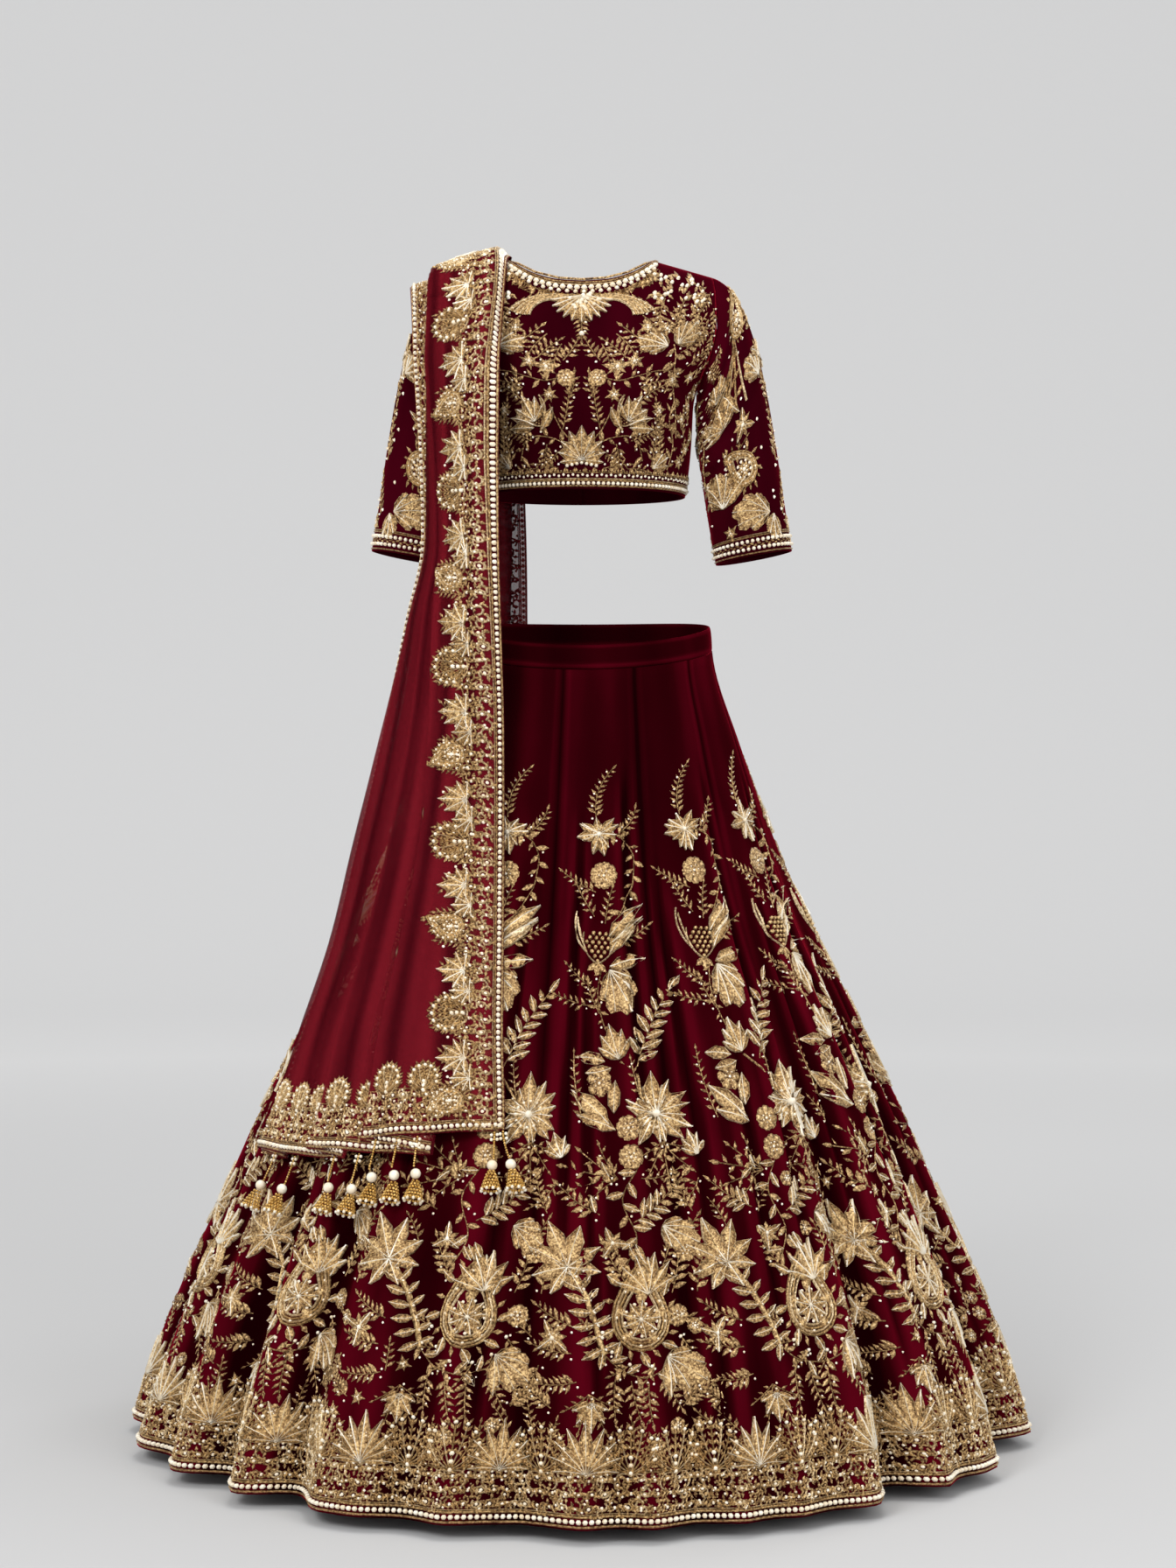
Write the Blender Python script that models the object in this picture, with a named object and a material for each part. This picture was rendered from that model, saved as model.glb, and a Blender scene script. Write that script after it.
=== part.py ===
# Lehenga choli with a net dupatta, built hollow, as it is worn.
# Metres, Z up. X runs to the wearer's left and the front faces -Y.
# The origin is on the body's centreline, level with the waistband's top edge at the sides.

from collections import namedtuple
from math import cos, pi, radians, sin, tan

import bpy
import numpy as np

for leftover in list(bpy.data.objects):
    bpy.data.objects.remove(leftover, do_unlink=True)

# Cloth and seams
SEAM_GAP = 0.0003
VELVET_WALL = 0.0020
BAND_WALL = 0.0030
NET_WALL = 0.0010
SMALL_STEP = 1e-4

# Both faces of a wall are cut along the same diagonal of each cell.
CELL_CUTS = ((0, 1, 2), (0, 2, 3))

# Skirt
PANELS = 12
SKIRT_HEM_Z = -1.018
SKIRT_HEM_RADIUS = 0.578
PANEL_CELLS = 8
SKIRT_ROWS = 9
FOLD_GROWTH = 1.3

# Waistband
BAND_HEIGHT = 0.031
BAND_SIDE_Z = 0.008
BAND_FRONT_DIP = 0.039
BAND_PROUD = 0.0006
BAND_CELLS = 36

# Choli
CHOLI_HEM_Z = 0.166
ARMPIT_Z = 0.300
FRONT_NECK_Z = 0.434
BACK_NECK_Z = 0.450
NECK_POINT_X = 0.098
NECK_POINT_Z = 0.474
SHOULDER_TIP_X = 0.170
SHOULDER_SLOPE = radians(16)
SHOULDER_ROUND = 0.060
SHOULDER_BACK = 0.010
NECK_RISE = 2.0
BUST_Z = 0.280
BUST_TURN = radians(35)
BUST_LIFT = 0.010
BUST_REACH_TURN = 0.38
BUST_REACH_Z = 0.048
PEARL_BAND_RAISE = 0.0012
PIPING_RADIUS = 0.0016
PIPING_SIDES = 5
PIPING_AIM = (-1.0, -0.6, 0.0)
PIPING_AIM_UP = 0.09

# Sleeves
CUFF_X = 0.2225
CUFF_Y = -0.015
CUFF_Z = 0.0863
CUFF_RADIUS = 0.0500
CUFF_TILT = radians(10.5)
SLEEVE_STARTS_OUT = 0.0005
EDGE_STEP = 0.002
TIP_BLEND = 0.12
ARMPIT_BLEND = 0.14
SLEEVE_TOP_PULL = 0.20
SLEEVE_SIDE_PULL = 0.10
SLEEVE_UNDER_PULL = 0.20
SLEEVE_CUFF_PULL = 0.32

# Dupatta
SHOULDER_NODE_ENDS = 2.0
NODE_SEAM = 0.005
SHARE_STEP = 1e-3
HEM_STEP = 0.01
HANG_STARTS = 3
TURN_CELLS = 2

# Tassels
TASSEL_SIDES = 8
STRING_RADIUS = 0.0012
STRING_LENGTH = 0.036
PEARL_RADIUS = 0.0062
CUP_RADIUS = 0.0125
CUP_HEIGHT = 0.024
CUP_REST_HEIGHT = 0.0090
TASSEL_LENGTH = STRING_LENGTH + 2 * PEARL_RADIUS + CUP_HEIGHT

SkirtLevel = namedtuple("SkirtLevel", "z half_width half_depth")
SKIRT_LEVELS = (
    SkirtLevel(0.010, 0.1660, 0.1130),
    SkirtLevel(-0.040, 0.1700, 0.1170),
    SkirtLevel(-0.153, 0.2045, 0.1500),
    SkirtLevel(-0.267, 0.2455, 0.2050),
    SkirtLevel(-0.381, 0.2940, 0.2680),
    SkirtLevel(-0.494, 0.3520, 0.3350),
    SkirtLevel(-0.608, 0.4080, 0.3980),
    SkirtLevel(-0.722, 0.4590, 0.4550),
    SkirtLevel(-0.835, 0.5110, 0.5100),
    SkirtLevel(-0.949, 0.5560, 0.5560),
    SkirtLevel(-1.018, 0.5780, 0.5780),
)

# Where each seam between two panels leaves the waistband and meets the hem, in degrees from the front.
PanelSeam = namedtuple("PanelSeam", "waist_turn hem_turn")
PANEL_SEAMS = (
    PanelSeam(-7.5, -7),
    PanelSeam(22.5, 13),
    PanelSeam(52.5, 38.5),
    PanelSeam(82.5, 62),
    PanelSeam(112.5, 98),
    PanelSeam(142.5, 134),
    PanelSeam(172.5, 168),
    PanelSeam(202.5, 202),
    PanelSeam(232.5, 234),
    PanelSeam(262.5, 268),
    PanelSeam(292.5, 300),
    PanelSeam(322.5, 326),
)

# Hollows between the skirt's flares: place and reach are counted in panels, depth is the one at the hem.
SkirtFold = namedtuple("SkirtFold", "place depth reach starts")
SKIRT_FOLDS = (
    SkirtFold(0.00, 0.022, 0.42, 0.10),
    SkirtFold(0.55, 0.008, 0.22, 0.35),
    SkirtFold(1.00, 0.014, 0.28, 0.15),
    SkirtFold(1.35, 0.008, 0.20, 0.40),
    SkirtFold(1.65, 0.010, 0.22, 0.30),
    SkirtFold(2.14, 0.055, 0.28, 0.20),
    SkirtFold(2.55, 0.012, 0.20, 0.45),
    SkirtFold(3.16, 0.060, 0.30, 0.18),
    SkirtFold(3.62, 0.025, 0.22, 0.38),
    SkirtFold(4.12, 0.040, 0.28, 0.22),
    SkirtFold(4.65, 0.022, 0.24, 0.42),
    SkirtFold(5.20, 0.044, 0.30, 0.16),
    SkirtFold(5.74, 0.018, 0.22, 0.45),
    SkirtFold(6.28, 0.038, 0.28, 0.24),
    SkirtFold(6.80, 0.022, 0.24, 0.36),
    SkirtFold(7.36, 0.042, 0.30, 0.18),
    SkirtFold(7.90, 0.020, 0.22, 0.44),
    SkirtFold(8.42, 0.036, 0.28, 0.22),
    SkirtFold(8.96, 0.024, 0.24, 0.40),
    SkirtFold(9.42, 0.030, 0.24, 0.30),
    SkirtFold(9.90, 0.025, 0.22, 0.34),
    SkirtFold(10.38, 0.045, 0.26, 0.20),
    SkirtFold(10.88, 0.042, 0.26, 0.26),
    SkirtFold(11.50, 0.015, 0.24, 0.36),
)

ChestLevel = namedtuple("ChestLevel", "z half_width front_depth back_depth")
CHEST_LEVELS = (
    ChestLevel(0.166, 0.1340, 0.106, 0.095),
    ChestLevel(0.200, 0.1390, 0.110, 0.096),
    ChestLevel(0.240, 0.1425, 0.122, 0.098),
    ChestLevel(0.280, 0.1445, 0.128, 0.100),
    ChestLevel(0.300, 0.1480, 0.127, 0.101),
    ChestLevel(0.320, 0.1600, 0.122, 0.101),
    ChestLevel(0.342, 0.1750, 0.115, 0.101),
    ChestLevel(0.370, 0.1840, 0.108, 0.100),
    ChestLevel(0.400, 0.1870, 0.100, 0.096),
    ChestLevel(0.440, 0.1900, 0.084, 0.084),
    ChestLevel(0.475, 0.1920, 0.062, 0.062),
)

# Edge of the armhole, from the armpit to the shoulder tip. Along is the share of the panel's side edge.
ArmholePoint = namedtuple("ArmholePoint", "along z front_x back_x")
ARMHOLE = (
    ArmholePoint(0.45, 0.3000, 0.1480, 0.1480),
    ArmholePoint(0.52, 0.3070, 0.1500, 0.1505),
    ArmholePoint(0.60, 0.3230, 0.1560, 0.1575),
    ArmholePoint(0.70, 0.3510, 0.1670, 0.1700),
    ArmholePoint(0.80, 0.3850, 0.1735, 0.1770),
    ArmholePoint(0.90, 0.4220, 0.1730, 0.1750),
    ArmholePoint(0.96, 0.4430, 0.1710, 0.1720),
    ArmholePoint(1.00, 0.4534, 0.1700, 0.1700),
)

# Neckline from the centre to the neck point. Lift is the share of the rise from the centre's height.
NecklinePoint = namedtuple("NecklinePoint", "across x lift")
NECKLINE = (
    NecklinePoint(0.000, 0.000, 0.00),
    NecklinePoint(0.125, 0.030, 0.06),
    NecklinePoint(0.250, 0.060, 0.28),
    NecklinePoint(0.375, 0.083, 0.62),
    NecklinePoint(0.500, 0.098, 1.00),
)

SideRow = namedtuple("SideRow", "along pearl_band")
CHOLI_ROWS = (
    SideRow(0.000, 0.0),
    SideRow(0.010, 0.0),
    SideRow(0.016, 1.0),
    SideRow(0.072, 1.0),
    SideRow(0.080, 0.0),
    SideRow(0.200, 0.0),
    SideRow(0.330, 0.0),
    SideRow(0.450, 0.0),
    SideRow(0.520, 0.0),
    SideRow(0.600, 0.0),
    SideRow(0.700, 0.0),
    SideRow(0.800, 0.0),
    SideRow(0.900, 0.0),
    SideRow(0.960, 0.0),
    SideRow(1.000, 0.0),
)
CHOLI_COLUMNS = (0.0, 0.125, 0.25, 0.375, 0.5, 0.67, 0.84, 1.0)

SleeveRow = namedtuple("SleeveRow", "along pearl_band")
SLEEVE_ROWS = (
    SleeveRow(0.000, 0.0),
    SleeveRow(0.080, 0.0),
    SleeveRow(0.180, 0.0),
    SleeveRow(0.310, 0.0),
    SleeveRow(0.460, 0.0),
    SleeveRow(0.620, 0.0),
    SleeveRow(0.780, 0.0),
    SleeveRow(0.915, 0.0),
    SleeveRow(0.921, 1.0),
    SleeveRow(0.985, 1.0),
    SleeveRow(0.991, 0.0),
    SleeveRow(1.000, 0.0),
)

# Path of the dupatta from its front hem (14) over the shoulder (0) to its back hem (-14).
# Turns are degrees from the front, reaches are from the body's axis, and spread goes from the
# narrow stack on the shoulder (0) to the open fan on the skirt (1).
DrapeStation = namedtuple(
    "DrapeStation",
    "stop inner_z outer_z inner_turn inner_reach outer_turn outer_reach bow spread pitch settle",
)
DRAPE_STATIONS = (
    DrapeStation(-14, -0.760, -0.760, -170.5, 0.4800, -113.0, 0.4810, 0.000, 1.00, 0.0035, 0.35),
    DrapeStation(-13, -0.620, -0.620, -169.5, 0.4078, -112.0, 0.4116, 0.000, 1.00, 0.0035, 0.35),
    DrapeStation(-12, -0.500, -0.500, -167.6, 0.3490, -111.1, 0.3612, 0.002, 1.00, 0.0036, 0.35),
    DrapeStation(-11, -0.400, -0.400, -165.2, 0.2920, -111.0, 0.3267, 0.004, 1.00, 0.0036, 0.34),
    DrapeStation(-10, -0.300, -0.300, -162.0, 0.2390, -110.9, 0.2997, 0.004, 1.00, 0.0036, 0.33),
    DrapeStation(-9, -0.200, -0.200, -157.9, 0.1960, -110.7, 0.2747, 0.002, 0.90, 0.0036, 0.30),
    DrapeStation(-8, -0.100, -0.100, -154.0, 0.1690, -110.3, 0.2537, 0.000, 0.75, 0.0034, 0.26),
    DrapeStation(-7, 0.000, 0.000, -151.6, 0.1550, -109.8, 0.2360, 0.000, 0.60, 0.0032, 0.22),
    DrapeStation(-6, 0.100, 0.100, -149.8, 0.1480, -108.8, 0.2239, 0.000, 0.45, 0.0032, 0.19),
    DrapeStation(-5, 0.200, 0.200, -146.9, 0.1420, -108.0, 0.2198, 0.000, 0.30, 0.0032, 0.16),
    DrapeStation(-4, 0.290, 0.280, -143.3, 0.1385, -107.4, 0.2201, 0.000, 0.15, 0.0030, 0.14),
    DrapeStation(-3, 0.360, 0.345, -141.0, 0.1400, -106.8, 0.2214, 0.000, 0.08, 0.0026, 0.12),
    DrapeStation(-2, 0.420, 0.400, -136.5, 0.1370, -105.0, 0.2237, 0.000, 0.04, 0.0026, 0.11),
    DrapeStation(-1, 0.467, 0.433, -119.5, 0.1120, -100.3, 0.2246, 0.000, 0.01, 0.0026, 0.10),
    DrapeStation(0, 0.4788, 0.4398, -93.0, 0.0910, -92.6, 0.2229, 0.000, 0.00, 0.0026, 0.10),
    DrapeStation(1, 0.466, 0.432, -66.7, 0.1040, -84.3, 0.2226, 0.000, 0.01, 0.0026, 0.10),
    DrapeStation(2, 0.420, 0.400, -50.9, 0.1260, -78.4, 0.2231, 0.000, 0.04, 0.0026, 0.11),
    DrapeStation(3, 0.360, 0.345, -41.0, 0.1540, -75.0, 0.2237, 0.000, 0.08, 0.0026, 0.12),
    DrapeStation(4, 0.290, 0.280, -33.9, 0.1830, -74.2, 0.2203, -0.008, 0.15, 0.0030, 0.14),
    DrapeStation(5, 0.200, 0.200, -33.2, 0.1864, -72.3, 0.2173, -0.008, 0.30, 0.0032, 0.16),
    DrapeStation(6, 0.100, 0.100, -32.6, 0.1875, -70.8, 0.2155, -0.006, 0.45, 0.0032, 0.19),
    DrapeStation(7, 0.000, 0.000, -31.7, 0.1882, -70.6, 0.2353, 0.000, 0.60, 0.0032, 0.22),
    DrapeStation(8, -0.100, -0.100, -29.7, 0.1935, -70.4, 0.2559, 0.000, 0.75, 0.0034, 0.26),
    DrapeStation(9, -0.200, -0.200, -26.8, 0.2095, -70.2, 0.2770, 0.002, 0.90, 0.0036, 0.30),
    DrapeStation(10, -0.300, -0.300, -22.7, 0.2420, -69.8, 0.3015, 0.004, 1.00, 0.0036, 0.33),
    DrapeStation(11, -0.400, -0.400, -18.4, 0.2920, -69.6, 0.3265, 0.004, 1.00, 0.0036, 0.34),
    DrapeStation(12, -0.500, -0.500, -15.3, 0.3460, -69.3, 0.3619, 0.002, 1.00, 0.0036, 0.35),
    DrapeStation(13, -0.620, -0.620, -12.4, 0.4078, -66.0, 0.4121, 0.000, 1.00, 0.0035, 0.35),
    DrapeStation(14, -0.760, -0.760, -11.0, 0.4800, -65.0, 0.4810, 0.000, 1.00, 0.0035, 0.35),
)

# Pleats of the dupatta across its width: where each fold lies in the stack and in the fan.
DrapeFold = namedtuple("DrapeFold", "across shoulder_share hem_share front_hem_z back_hem_z cells")
DRAPE_FOLDS = (
    DrapeFold(0.000, 0.000, 0.000, -0.605, -0.598, 4),
    DrapeFold(0.185, 0.735, 0.450, -0.632, -0.622, 2),
    DrapeFold(0.285, 0.114, 0.216, -0.640, -0.630, 4),
    DrapeFold(0.445, 0.765, 0.674, -0.647, -0.641, 2),
    DrapeFold(0.530, 0.227, 0.515, -0.652, -0.646, 4),
    DrapeFold(0.720, 0.788, 1.000, -0.658, -0.655, 2),
    DrapeFold(0.800, 0.379, 0.813, -0.660, -0.659, 2),
    DrapeFold(0.900, 1.000, 0.980, -0.662, -0.664, 0),
)
LAYERS = len(DRAPE_FOLDS) - 1
FRONT_ROWS = 12
SHOULDER_ROWS = 6
BACK_ROWS = 10

# Tassels: across is the place along the dupatta's hem, lean_x how far the cup swings sideways.
Tassel = namedtuple("Tassel", "end across lean_x")
TASSELS = (
    Tassel("front", 0.003, 0.018),
    Tassel("front", 0.014, 0.001),
    Tassel("front", 0.108, 0.003),
    Tassel("front", 0.133, -0.001),
    Tassel("front", 0.163, -0.001),
    Tassel("front", 0.370, -0.001),
    Tassel("front", 0.402, 0.002),
    Tassel("front", 0.622, 0.000),
    Tassel("front", 0.668, -0.003),
    Tassel("back", 0.005, 0.003),
    Tassel("back", 0.060, 0.000),
    Tassel("back", 0.118, -0.002),
    Tassel("back", 0.165, 0.002),
    Tassel("back", 0.392, 0.000),
    Tassel("back", 0.640, 0.002),
    Tassel("back", 0.690, -0.002),
)


def column(rows, name):
    return np.array([getattr(row, name) for row in rows], float)


def smooth_through(keys, values, at):
    # A smooth curve through the values that never swings past them.
    keys = np.asarray(keys, float)
    values = np.asarray(values, float)
    step = np.diff(keys)
    slope = np.diff(values) / step
    tangent = np.zeros(len(values))
    tangent[0] = slope[0]
    tangent[-1] = slope[-1]
    before, after = slope[:-1], slope[1:]
    same = before * after > 0
    tangent[1:-1][same] = 2 * before[same] * after[same] / (before[same] + after[same])
    at = np.asarray(at, float)
    i = np.clip(np.searchsorted(keys, at) - 1, 0, len(step) - 1)
    t = np.clip((at - keys[i]) / step[i], 0, 1)
    start = (1 + 2 * t) * (1 - t) ** 2 * values[i] + t * (1 - t) ** 2 * step[i] * tangent[i]
    end = t * t * (3 - 2 * t) * values[i + 1] - t * t * (1 - t) * step[i] * tangent[i + 1]
    return start + end


def table(rows, key, name, at):
    return smooth_through(column(rows, key), column(rows, name), at)


def smooth_step(t):
    t = np.clip(t, 0, 1)
    return t * t * (3 - 2 * t)


def unit(vectors):
    return vectors / np.maximum(np.linalg.norm(vectors, axis=-1, keepdims=True), 1e-12)


def surface_normal(surface, across, along, low=-np.inf, high=np.inf):
    # Unit normal of surface(across, along), from small steps that stay between low and high.
    left = np.maximum(across - SMALL_STEP, low)
    right = np.minimum(across + SMALL_STEP, high)
    under = np.maximum(along - SMALL_STEP, 0)
    over = np.minimum(along + SMALL_STEP, 1)
    d_across = surface(right, along) - surface(left, along)
    d_along = surface(across, over) - surface(across, under)
    return unit(np.cross(d_across, d_along))


def principled(name, colour, roughness, metallic=0.0):
    finish = bpy.data.materials.new(name)
    finish.use_nodes = True
    shader = finish.node_tree.nodes["Principled BSDF"]
    shader.inputs["Base Color"].default_value = (*colour, 1.0)
    shader.inputs["Roughness"].default_value = roughness
    shader.inputs["Metallic"].default_value = metallic
    finish.diffuse_color = (*colour, 1.0)
    return finish


def skirt_velvet(name):
    return principled(name + "_velvet", (0.030, 0.0006, 0.0022), 0.75)


def choli_velvet(name):
    return principled(name + "_velvet", (0.034, 0.0007, 0.0045), 0.75)


def red_net(name):
    return principled(name + "_net", (0.140, 0.0085, 0.0130), 0.6)


def gold_metal(name):
    return principled(name + "_gold", (0.480, 0.300, 0.120), 0.35, 0.9)


def add_piece(name, points, faces, finish):
    mesh = bpy.data.meshes.new(name)
    mesh.from_pydata([tuple(p) for p in np.asarray(points, float)], [], faces)
    corners = np.array([mesh.vertices[i].co for t in mesh_triangles(mesh) for i in t])
    a, b, c = corners.reshape(-1, 3, 3).transpose(1, 0, 2)
    if np.einsum("ij,ij->", a, np.cross(b, c)) < 0:
        mesh.flip_normals()
    mesh.shade_smooth()
    mesh.set_sharp_from_angle(angle=radians(50))
    mesh.materials.append(finish)
    piece = bpy.data.objects.new(name, mesh)
    bpy.context.scene.collection.objects.link(piece)
    return piece


def mesh_triangles(mesh):
    mesh.calc_loop_triangles()
    return [tuple(t.vertices) for t in mesh.loop_triangles]


def add_wall(name, outer, inner, finish, ring=False):
    # A closed wall between two grids of points. A ring's last column joins its first.
    rows, columns = outer.shape[:2]
    spans = columns if ring else columns - 1
    inside = rows * columns

    def out(row, col):
        return row * columns + col % columns

    def inn(row, col):
        return inside + out(row, col)

    faces = []
    for row in range(rows - 1):
        for col in range(spans):
            corners = ((row, col), (row, col + 1), (row + 1, col + 1), (row + 1, col))
            for cut in CELL_CUTS:
                faces.append(tuple(out(*corners[k]) for k in cut))
                faces.append(tuple(inn(*corners[k]) for k in reversed(cut)))
    last = rows - 1
    for col in range(spans):
        faces.append((out(0, col + 1), out(0, col), inn(0, col), inn(0, col + 1)))
        faces.append((out(last, col), out(last, col + 1), inn(last, col + 1), inn(last, col)))
    if not ring:
        end = columns - 1
        for row in range(rows - 1):
            faces.append((out(row, 0), out(row + 1, 0), inn(row + 1, 0), inn(row, 0)))
            faces.append((out(row + 1, end), out(row, end), inn(row, end), inn(row + 1, end)))
    points = np.concatenate([outer.reshape(-1, 3), inner.reshape(-1, 3)])
    return add_piece(name, points, faces, finish)


# Skirt

def band_top_z(turn):
    return BAND_SIDE_Z - BAND_FRONT_DIP * ((1 + np.cos(turn)) / 2) ** 2


def fold_hollow(place, fall):
    depth = np.zeros(np.broadcast(place, fall).shape)
    for fold in SKIRT_FOLDS:
        away = (place - fold.place + PANELS / 2) % PANELS - PANELS / 2
        lobe = np.where(np.abs(away) < fold.reach, np.cos(pi * away / (2 * fold.reach)) ** 2, 0)
        grown = np.clip((fall - fold.starts) / (1 - fold.starts), 0, 1) ** FOLD_GROWTH
        depth = np.maximum(depth, fold.depth * lobe * grown)
    return depth


def skirt_turn(place, which):
    turns = column(PANEL_SEAMS, which)
    turns = np.append(turns, turns[0] + 360)
    wrapped = np.mod(place, PANELS)
    return np.interp(wrapped, np.arange(PANELS + 1), turns)


def skirt_surface(place, fall):
    # Place counts panels round the skirt, fall goes from the waistband (0) to the hem (1).
    place, fall = np.broadcast_arrays(np.asarray(place, float), np.asarray(fall, float))
    waist = np.radians(skirt_turn(place, "waist_turn"))
    hem = np.radians(skirt_turn(place, "hem_turn"))
    top_z = band_top_z(waist) - BAND_HEIGHT - SEAM_GAP
    z = top_z + (SKIRT_HEM_Z - top_z) * fall
    half_width = table(SKIRT_LEVELS[::-1], "z", "half_width", z)
    half_depth = table(SKIRT_LEVELS[::-1], "z", "half_depth", z)
    turn = waist + (hem - waist) * fall * SKIRT_HEM_RADIUS / half_width
    hollow = fold_hollow(place, fall)
    x = (half_width - hollow) * np.sin(turn)
    y = -(half_depth - hollow) * np.cos(turn)
    return np.stack([x, y, z], axis=-1)


def build_skirt_panels():
    fall = np.linspace(0, 1, SKIRT_ROWS + 1)[:, None]
    for panel in range(PANELS):
        name = f"skirt_panel_{panel + 1:02d}"
        place = panel + np.linspace(0, 1, PANEL_CELLS + 1)[None, :] + 0 * fall
        width = np.linalg.norm(skirt_surface(panel + 1 - 1e-9, fall) - skirt_surface(panel, fall), axis=-1)
        trim = SEAM_GAP / 2 / width
        place[:, :1] += trim
        place[:, -1:] -= trim
        outer = skirt_surface(place, fall)
        out = -surface_normal(skirt_surface, place, fall + 0 * place)
        level = out.copy()
        level[0, :, 2] = 0
        level[-1, :, 2] = 0
        inner = outer - VELVET_WALL * unit(level)
        add_wall(name, outer, inner, skirt_velvet(name))


def build_waistband():
    turn = np.linspace(0, 2 * pi, BAND_CELLS, endpoint=False)
    top = band_top_z(turn)
    rings = {}
    for side, inset in (("outer", -BAND_PROUD), ("inner", BAND_WALL - BAND_PROUD)):
        rows = []
        for z in (top, top - BAND_HEIGHT):
            half_width = table(SKIRT_LEVELS[::-1], "z", "half_width", z) - inset
            half_depth = table(SKIRT_LEVELS[::-1], "z", "half_depth", z) - inset
            rows.append(np.stack([half_width * np.sin(turn), -half_depth * np.cos(turn), z], axis=-1))
        rings[side] = np.array(rows)
    add_wall("waistband", rings["outer"], rings["inner"], skirt_velvet("waistband"), ring=True)


# Choli

def shoulder_z(x):
    x = np.abs(x)
    slope = NECK_POINT_Z - (x - NECK_POINT_X) * tan(SHOULDER_SLOPE)
    neck = NECK_POINT_Z + (NECK_POINT_X - x) * NECK_RISE
    return np.where(x < NECK_POINT_X, neck, slope)


def chest_point(turn, z, side):
    # A point of the chest at an angle from the centre. Side is -1 on the front and 1 on the back.
    half_width = table(CHEST_LEVELS, "z", "half_width", z)
    depth = table(CHEST_LEVELS, "z", "front_depth" if side < 0 else "back_depth", z)
    if side < 0:
        aside = (np.abs(turn) - BUST_TURN) / BUST_REACH_TURN
        above = (z - BUST_Z) / BUST_REACH_Z
        lobe = np.exp(-(aside**2) - above**2)
        depth = depth + BUST_LIFT * lobe
    x = half_width * np.sin(turn)
    height = np.clip((shoulder_z(x) - z) / SHOULDER_ROUND, 0, 1)
    rounding = np.sqrt(1 - (1 - height) ** 2)
    middle = SHOULDER_BACK * smooth_step((z - ARMPIT_Z) / (NECK_POINT_Z - ARMPIT_Z - 0.03))
    y = middle + side * depth * np.cos(turn) * rounding
    return np.stack([x, y, z + 0 * x], axis=-1)


def turn_at(x, z):
    return np.arcsin(np.clip(x / table(CHEST_LEVELS, "z", "half_width", z), -1, 1))


def side_edge(along, side):
    # Side seam up to the armpit, then the armhole, as turn and height.
    seam_z = CHOLI_HEM_Z + (ARMPIT_Z - CHOLI_HEM_Z) * along / ARMHOLE[0].along
    hole_z = table(ARMHOLE, "along", "z", along)
    hole_x = table(ARMHOLE, "along", "front_x" if side < 0 else "back_x", along)
    on_seam = along < ARMHOLE[0].along
    z = np.where(on_seam, seam_z, hole_z)
    turn = np.where(on_seam, pi / 2, turn_at(hole_x, hole_z))
    return turn, z


def top_edge(across, side):
    # Neckline, then the shoulder seam out to its tip, as turn and height.
    neck_z = FRONT_NECK_Z if side < 0 else BACK_NECK_Z
    neck_end = NECKLINE[-1].across
    line_x = table(NECKLINE, "across", "x", across)
    line_z = neck_z + (NECK_POINT_Z - neck_z) * table(NECKLINE, "across", "lift", across)
    share = np.clip((across - neck_end) / (1 - neck_end), 0, 1)
    seam_x = NECK_POINT_X + (SHOULDER_TIP_X - NECK_POINT_X) * share
    on_neck = across < neck_end
    x = np.where(on_neck, line_x, seam_x)
    z = np.where(on_neck, line_z, shoulder_z(seam_x))
    return turn_at(x, z), z


def choli_surface(across, along, side):
    # Across goes from the centre (0) to the side edge (1), negative on the wearer's right.
    across, along = np.broadcast_arrays(np.asarray(across, float), np.asarray(along, float))
    mirror = np.where(across < 0, -1.0, 1.0)
    s = np.abs(across)
    centre_z = FRONT_NECK_Z if side < 0 else BACK_NECK_Z
    edge_turn, edge_z = side_edge(along, side)
    top_turn, top_z = top_edge(s, side)
    tip_turn, tip_z = top_edge(np.ones(1), side)
    low_turn = s * pi / 2
    middle_z = CHOLI_HEM_Z + (centre_z - CHOLI_HEM_Z) * along
    turn = (1 - along) * low_turn + along * top_turn + s * edge_turn
    turn = turn - s * (1 - along) * pi / 2 - s * along * tip_turn[0]
    z = (1 - along) * CHOLI_HEM_Z + along * top_z + (1 - s) * middle_z + s * edge_z
    z = z - (1 - along) * CHOLI_HEM_Z - (1 - s) * along * centre_z - s * along * tip_z[0]
    point = chest_point(turn, z, side)
    point[..., 0] *= mirror
    return point


def choli_grids(across, side):
    along = column(CHOLI_ROWS, "along")[:, None]
    band = column(CHOLI_ROWS, "pearl_band")[:, None, None]
    across = np.asarray(across, float)[None, :] + 0 * along
    along = along + 0 * across
    low, high = across.min(), across.max()
    surface = lambda a, b: choli_surface(a, b, side)
    out = surface_normal(surface, across, along, low, high)
    base = surface(across, along)
    facing = np.sign(np.sum(out[2, :, :2] * base[2, :, :2]))
    out = out * facing
    out[-1, np.abs(across[-1]) >= NECKLINE[-1].across, 1] = 0
    on_side = np.abs(np.abs(across) - 1) < 1e-9
    out[on_side & (along <= ARMHOLE[0].along), 1] = 0
    out[np.abs(across) < 1e-9, 0] = 0
    out = unit(out)
    outer = base + PEARL_BAND_RAISE * band * out
    inner = base - VELVET_WALL * out
    for grid in (outer, inner):
        grid[..., 1] += side * SEAM_GAP / 2
    return outer, inner


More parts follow.
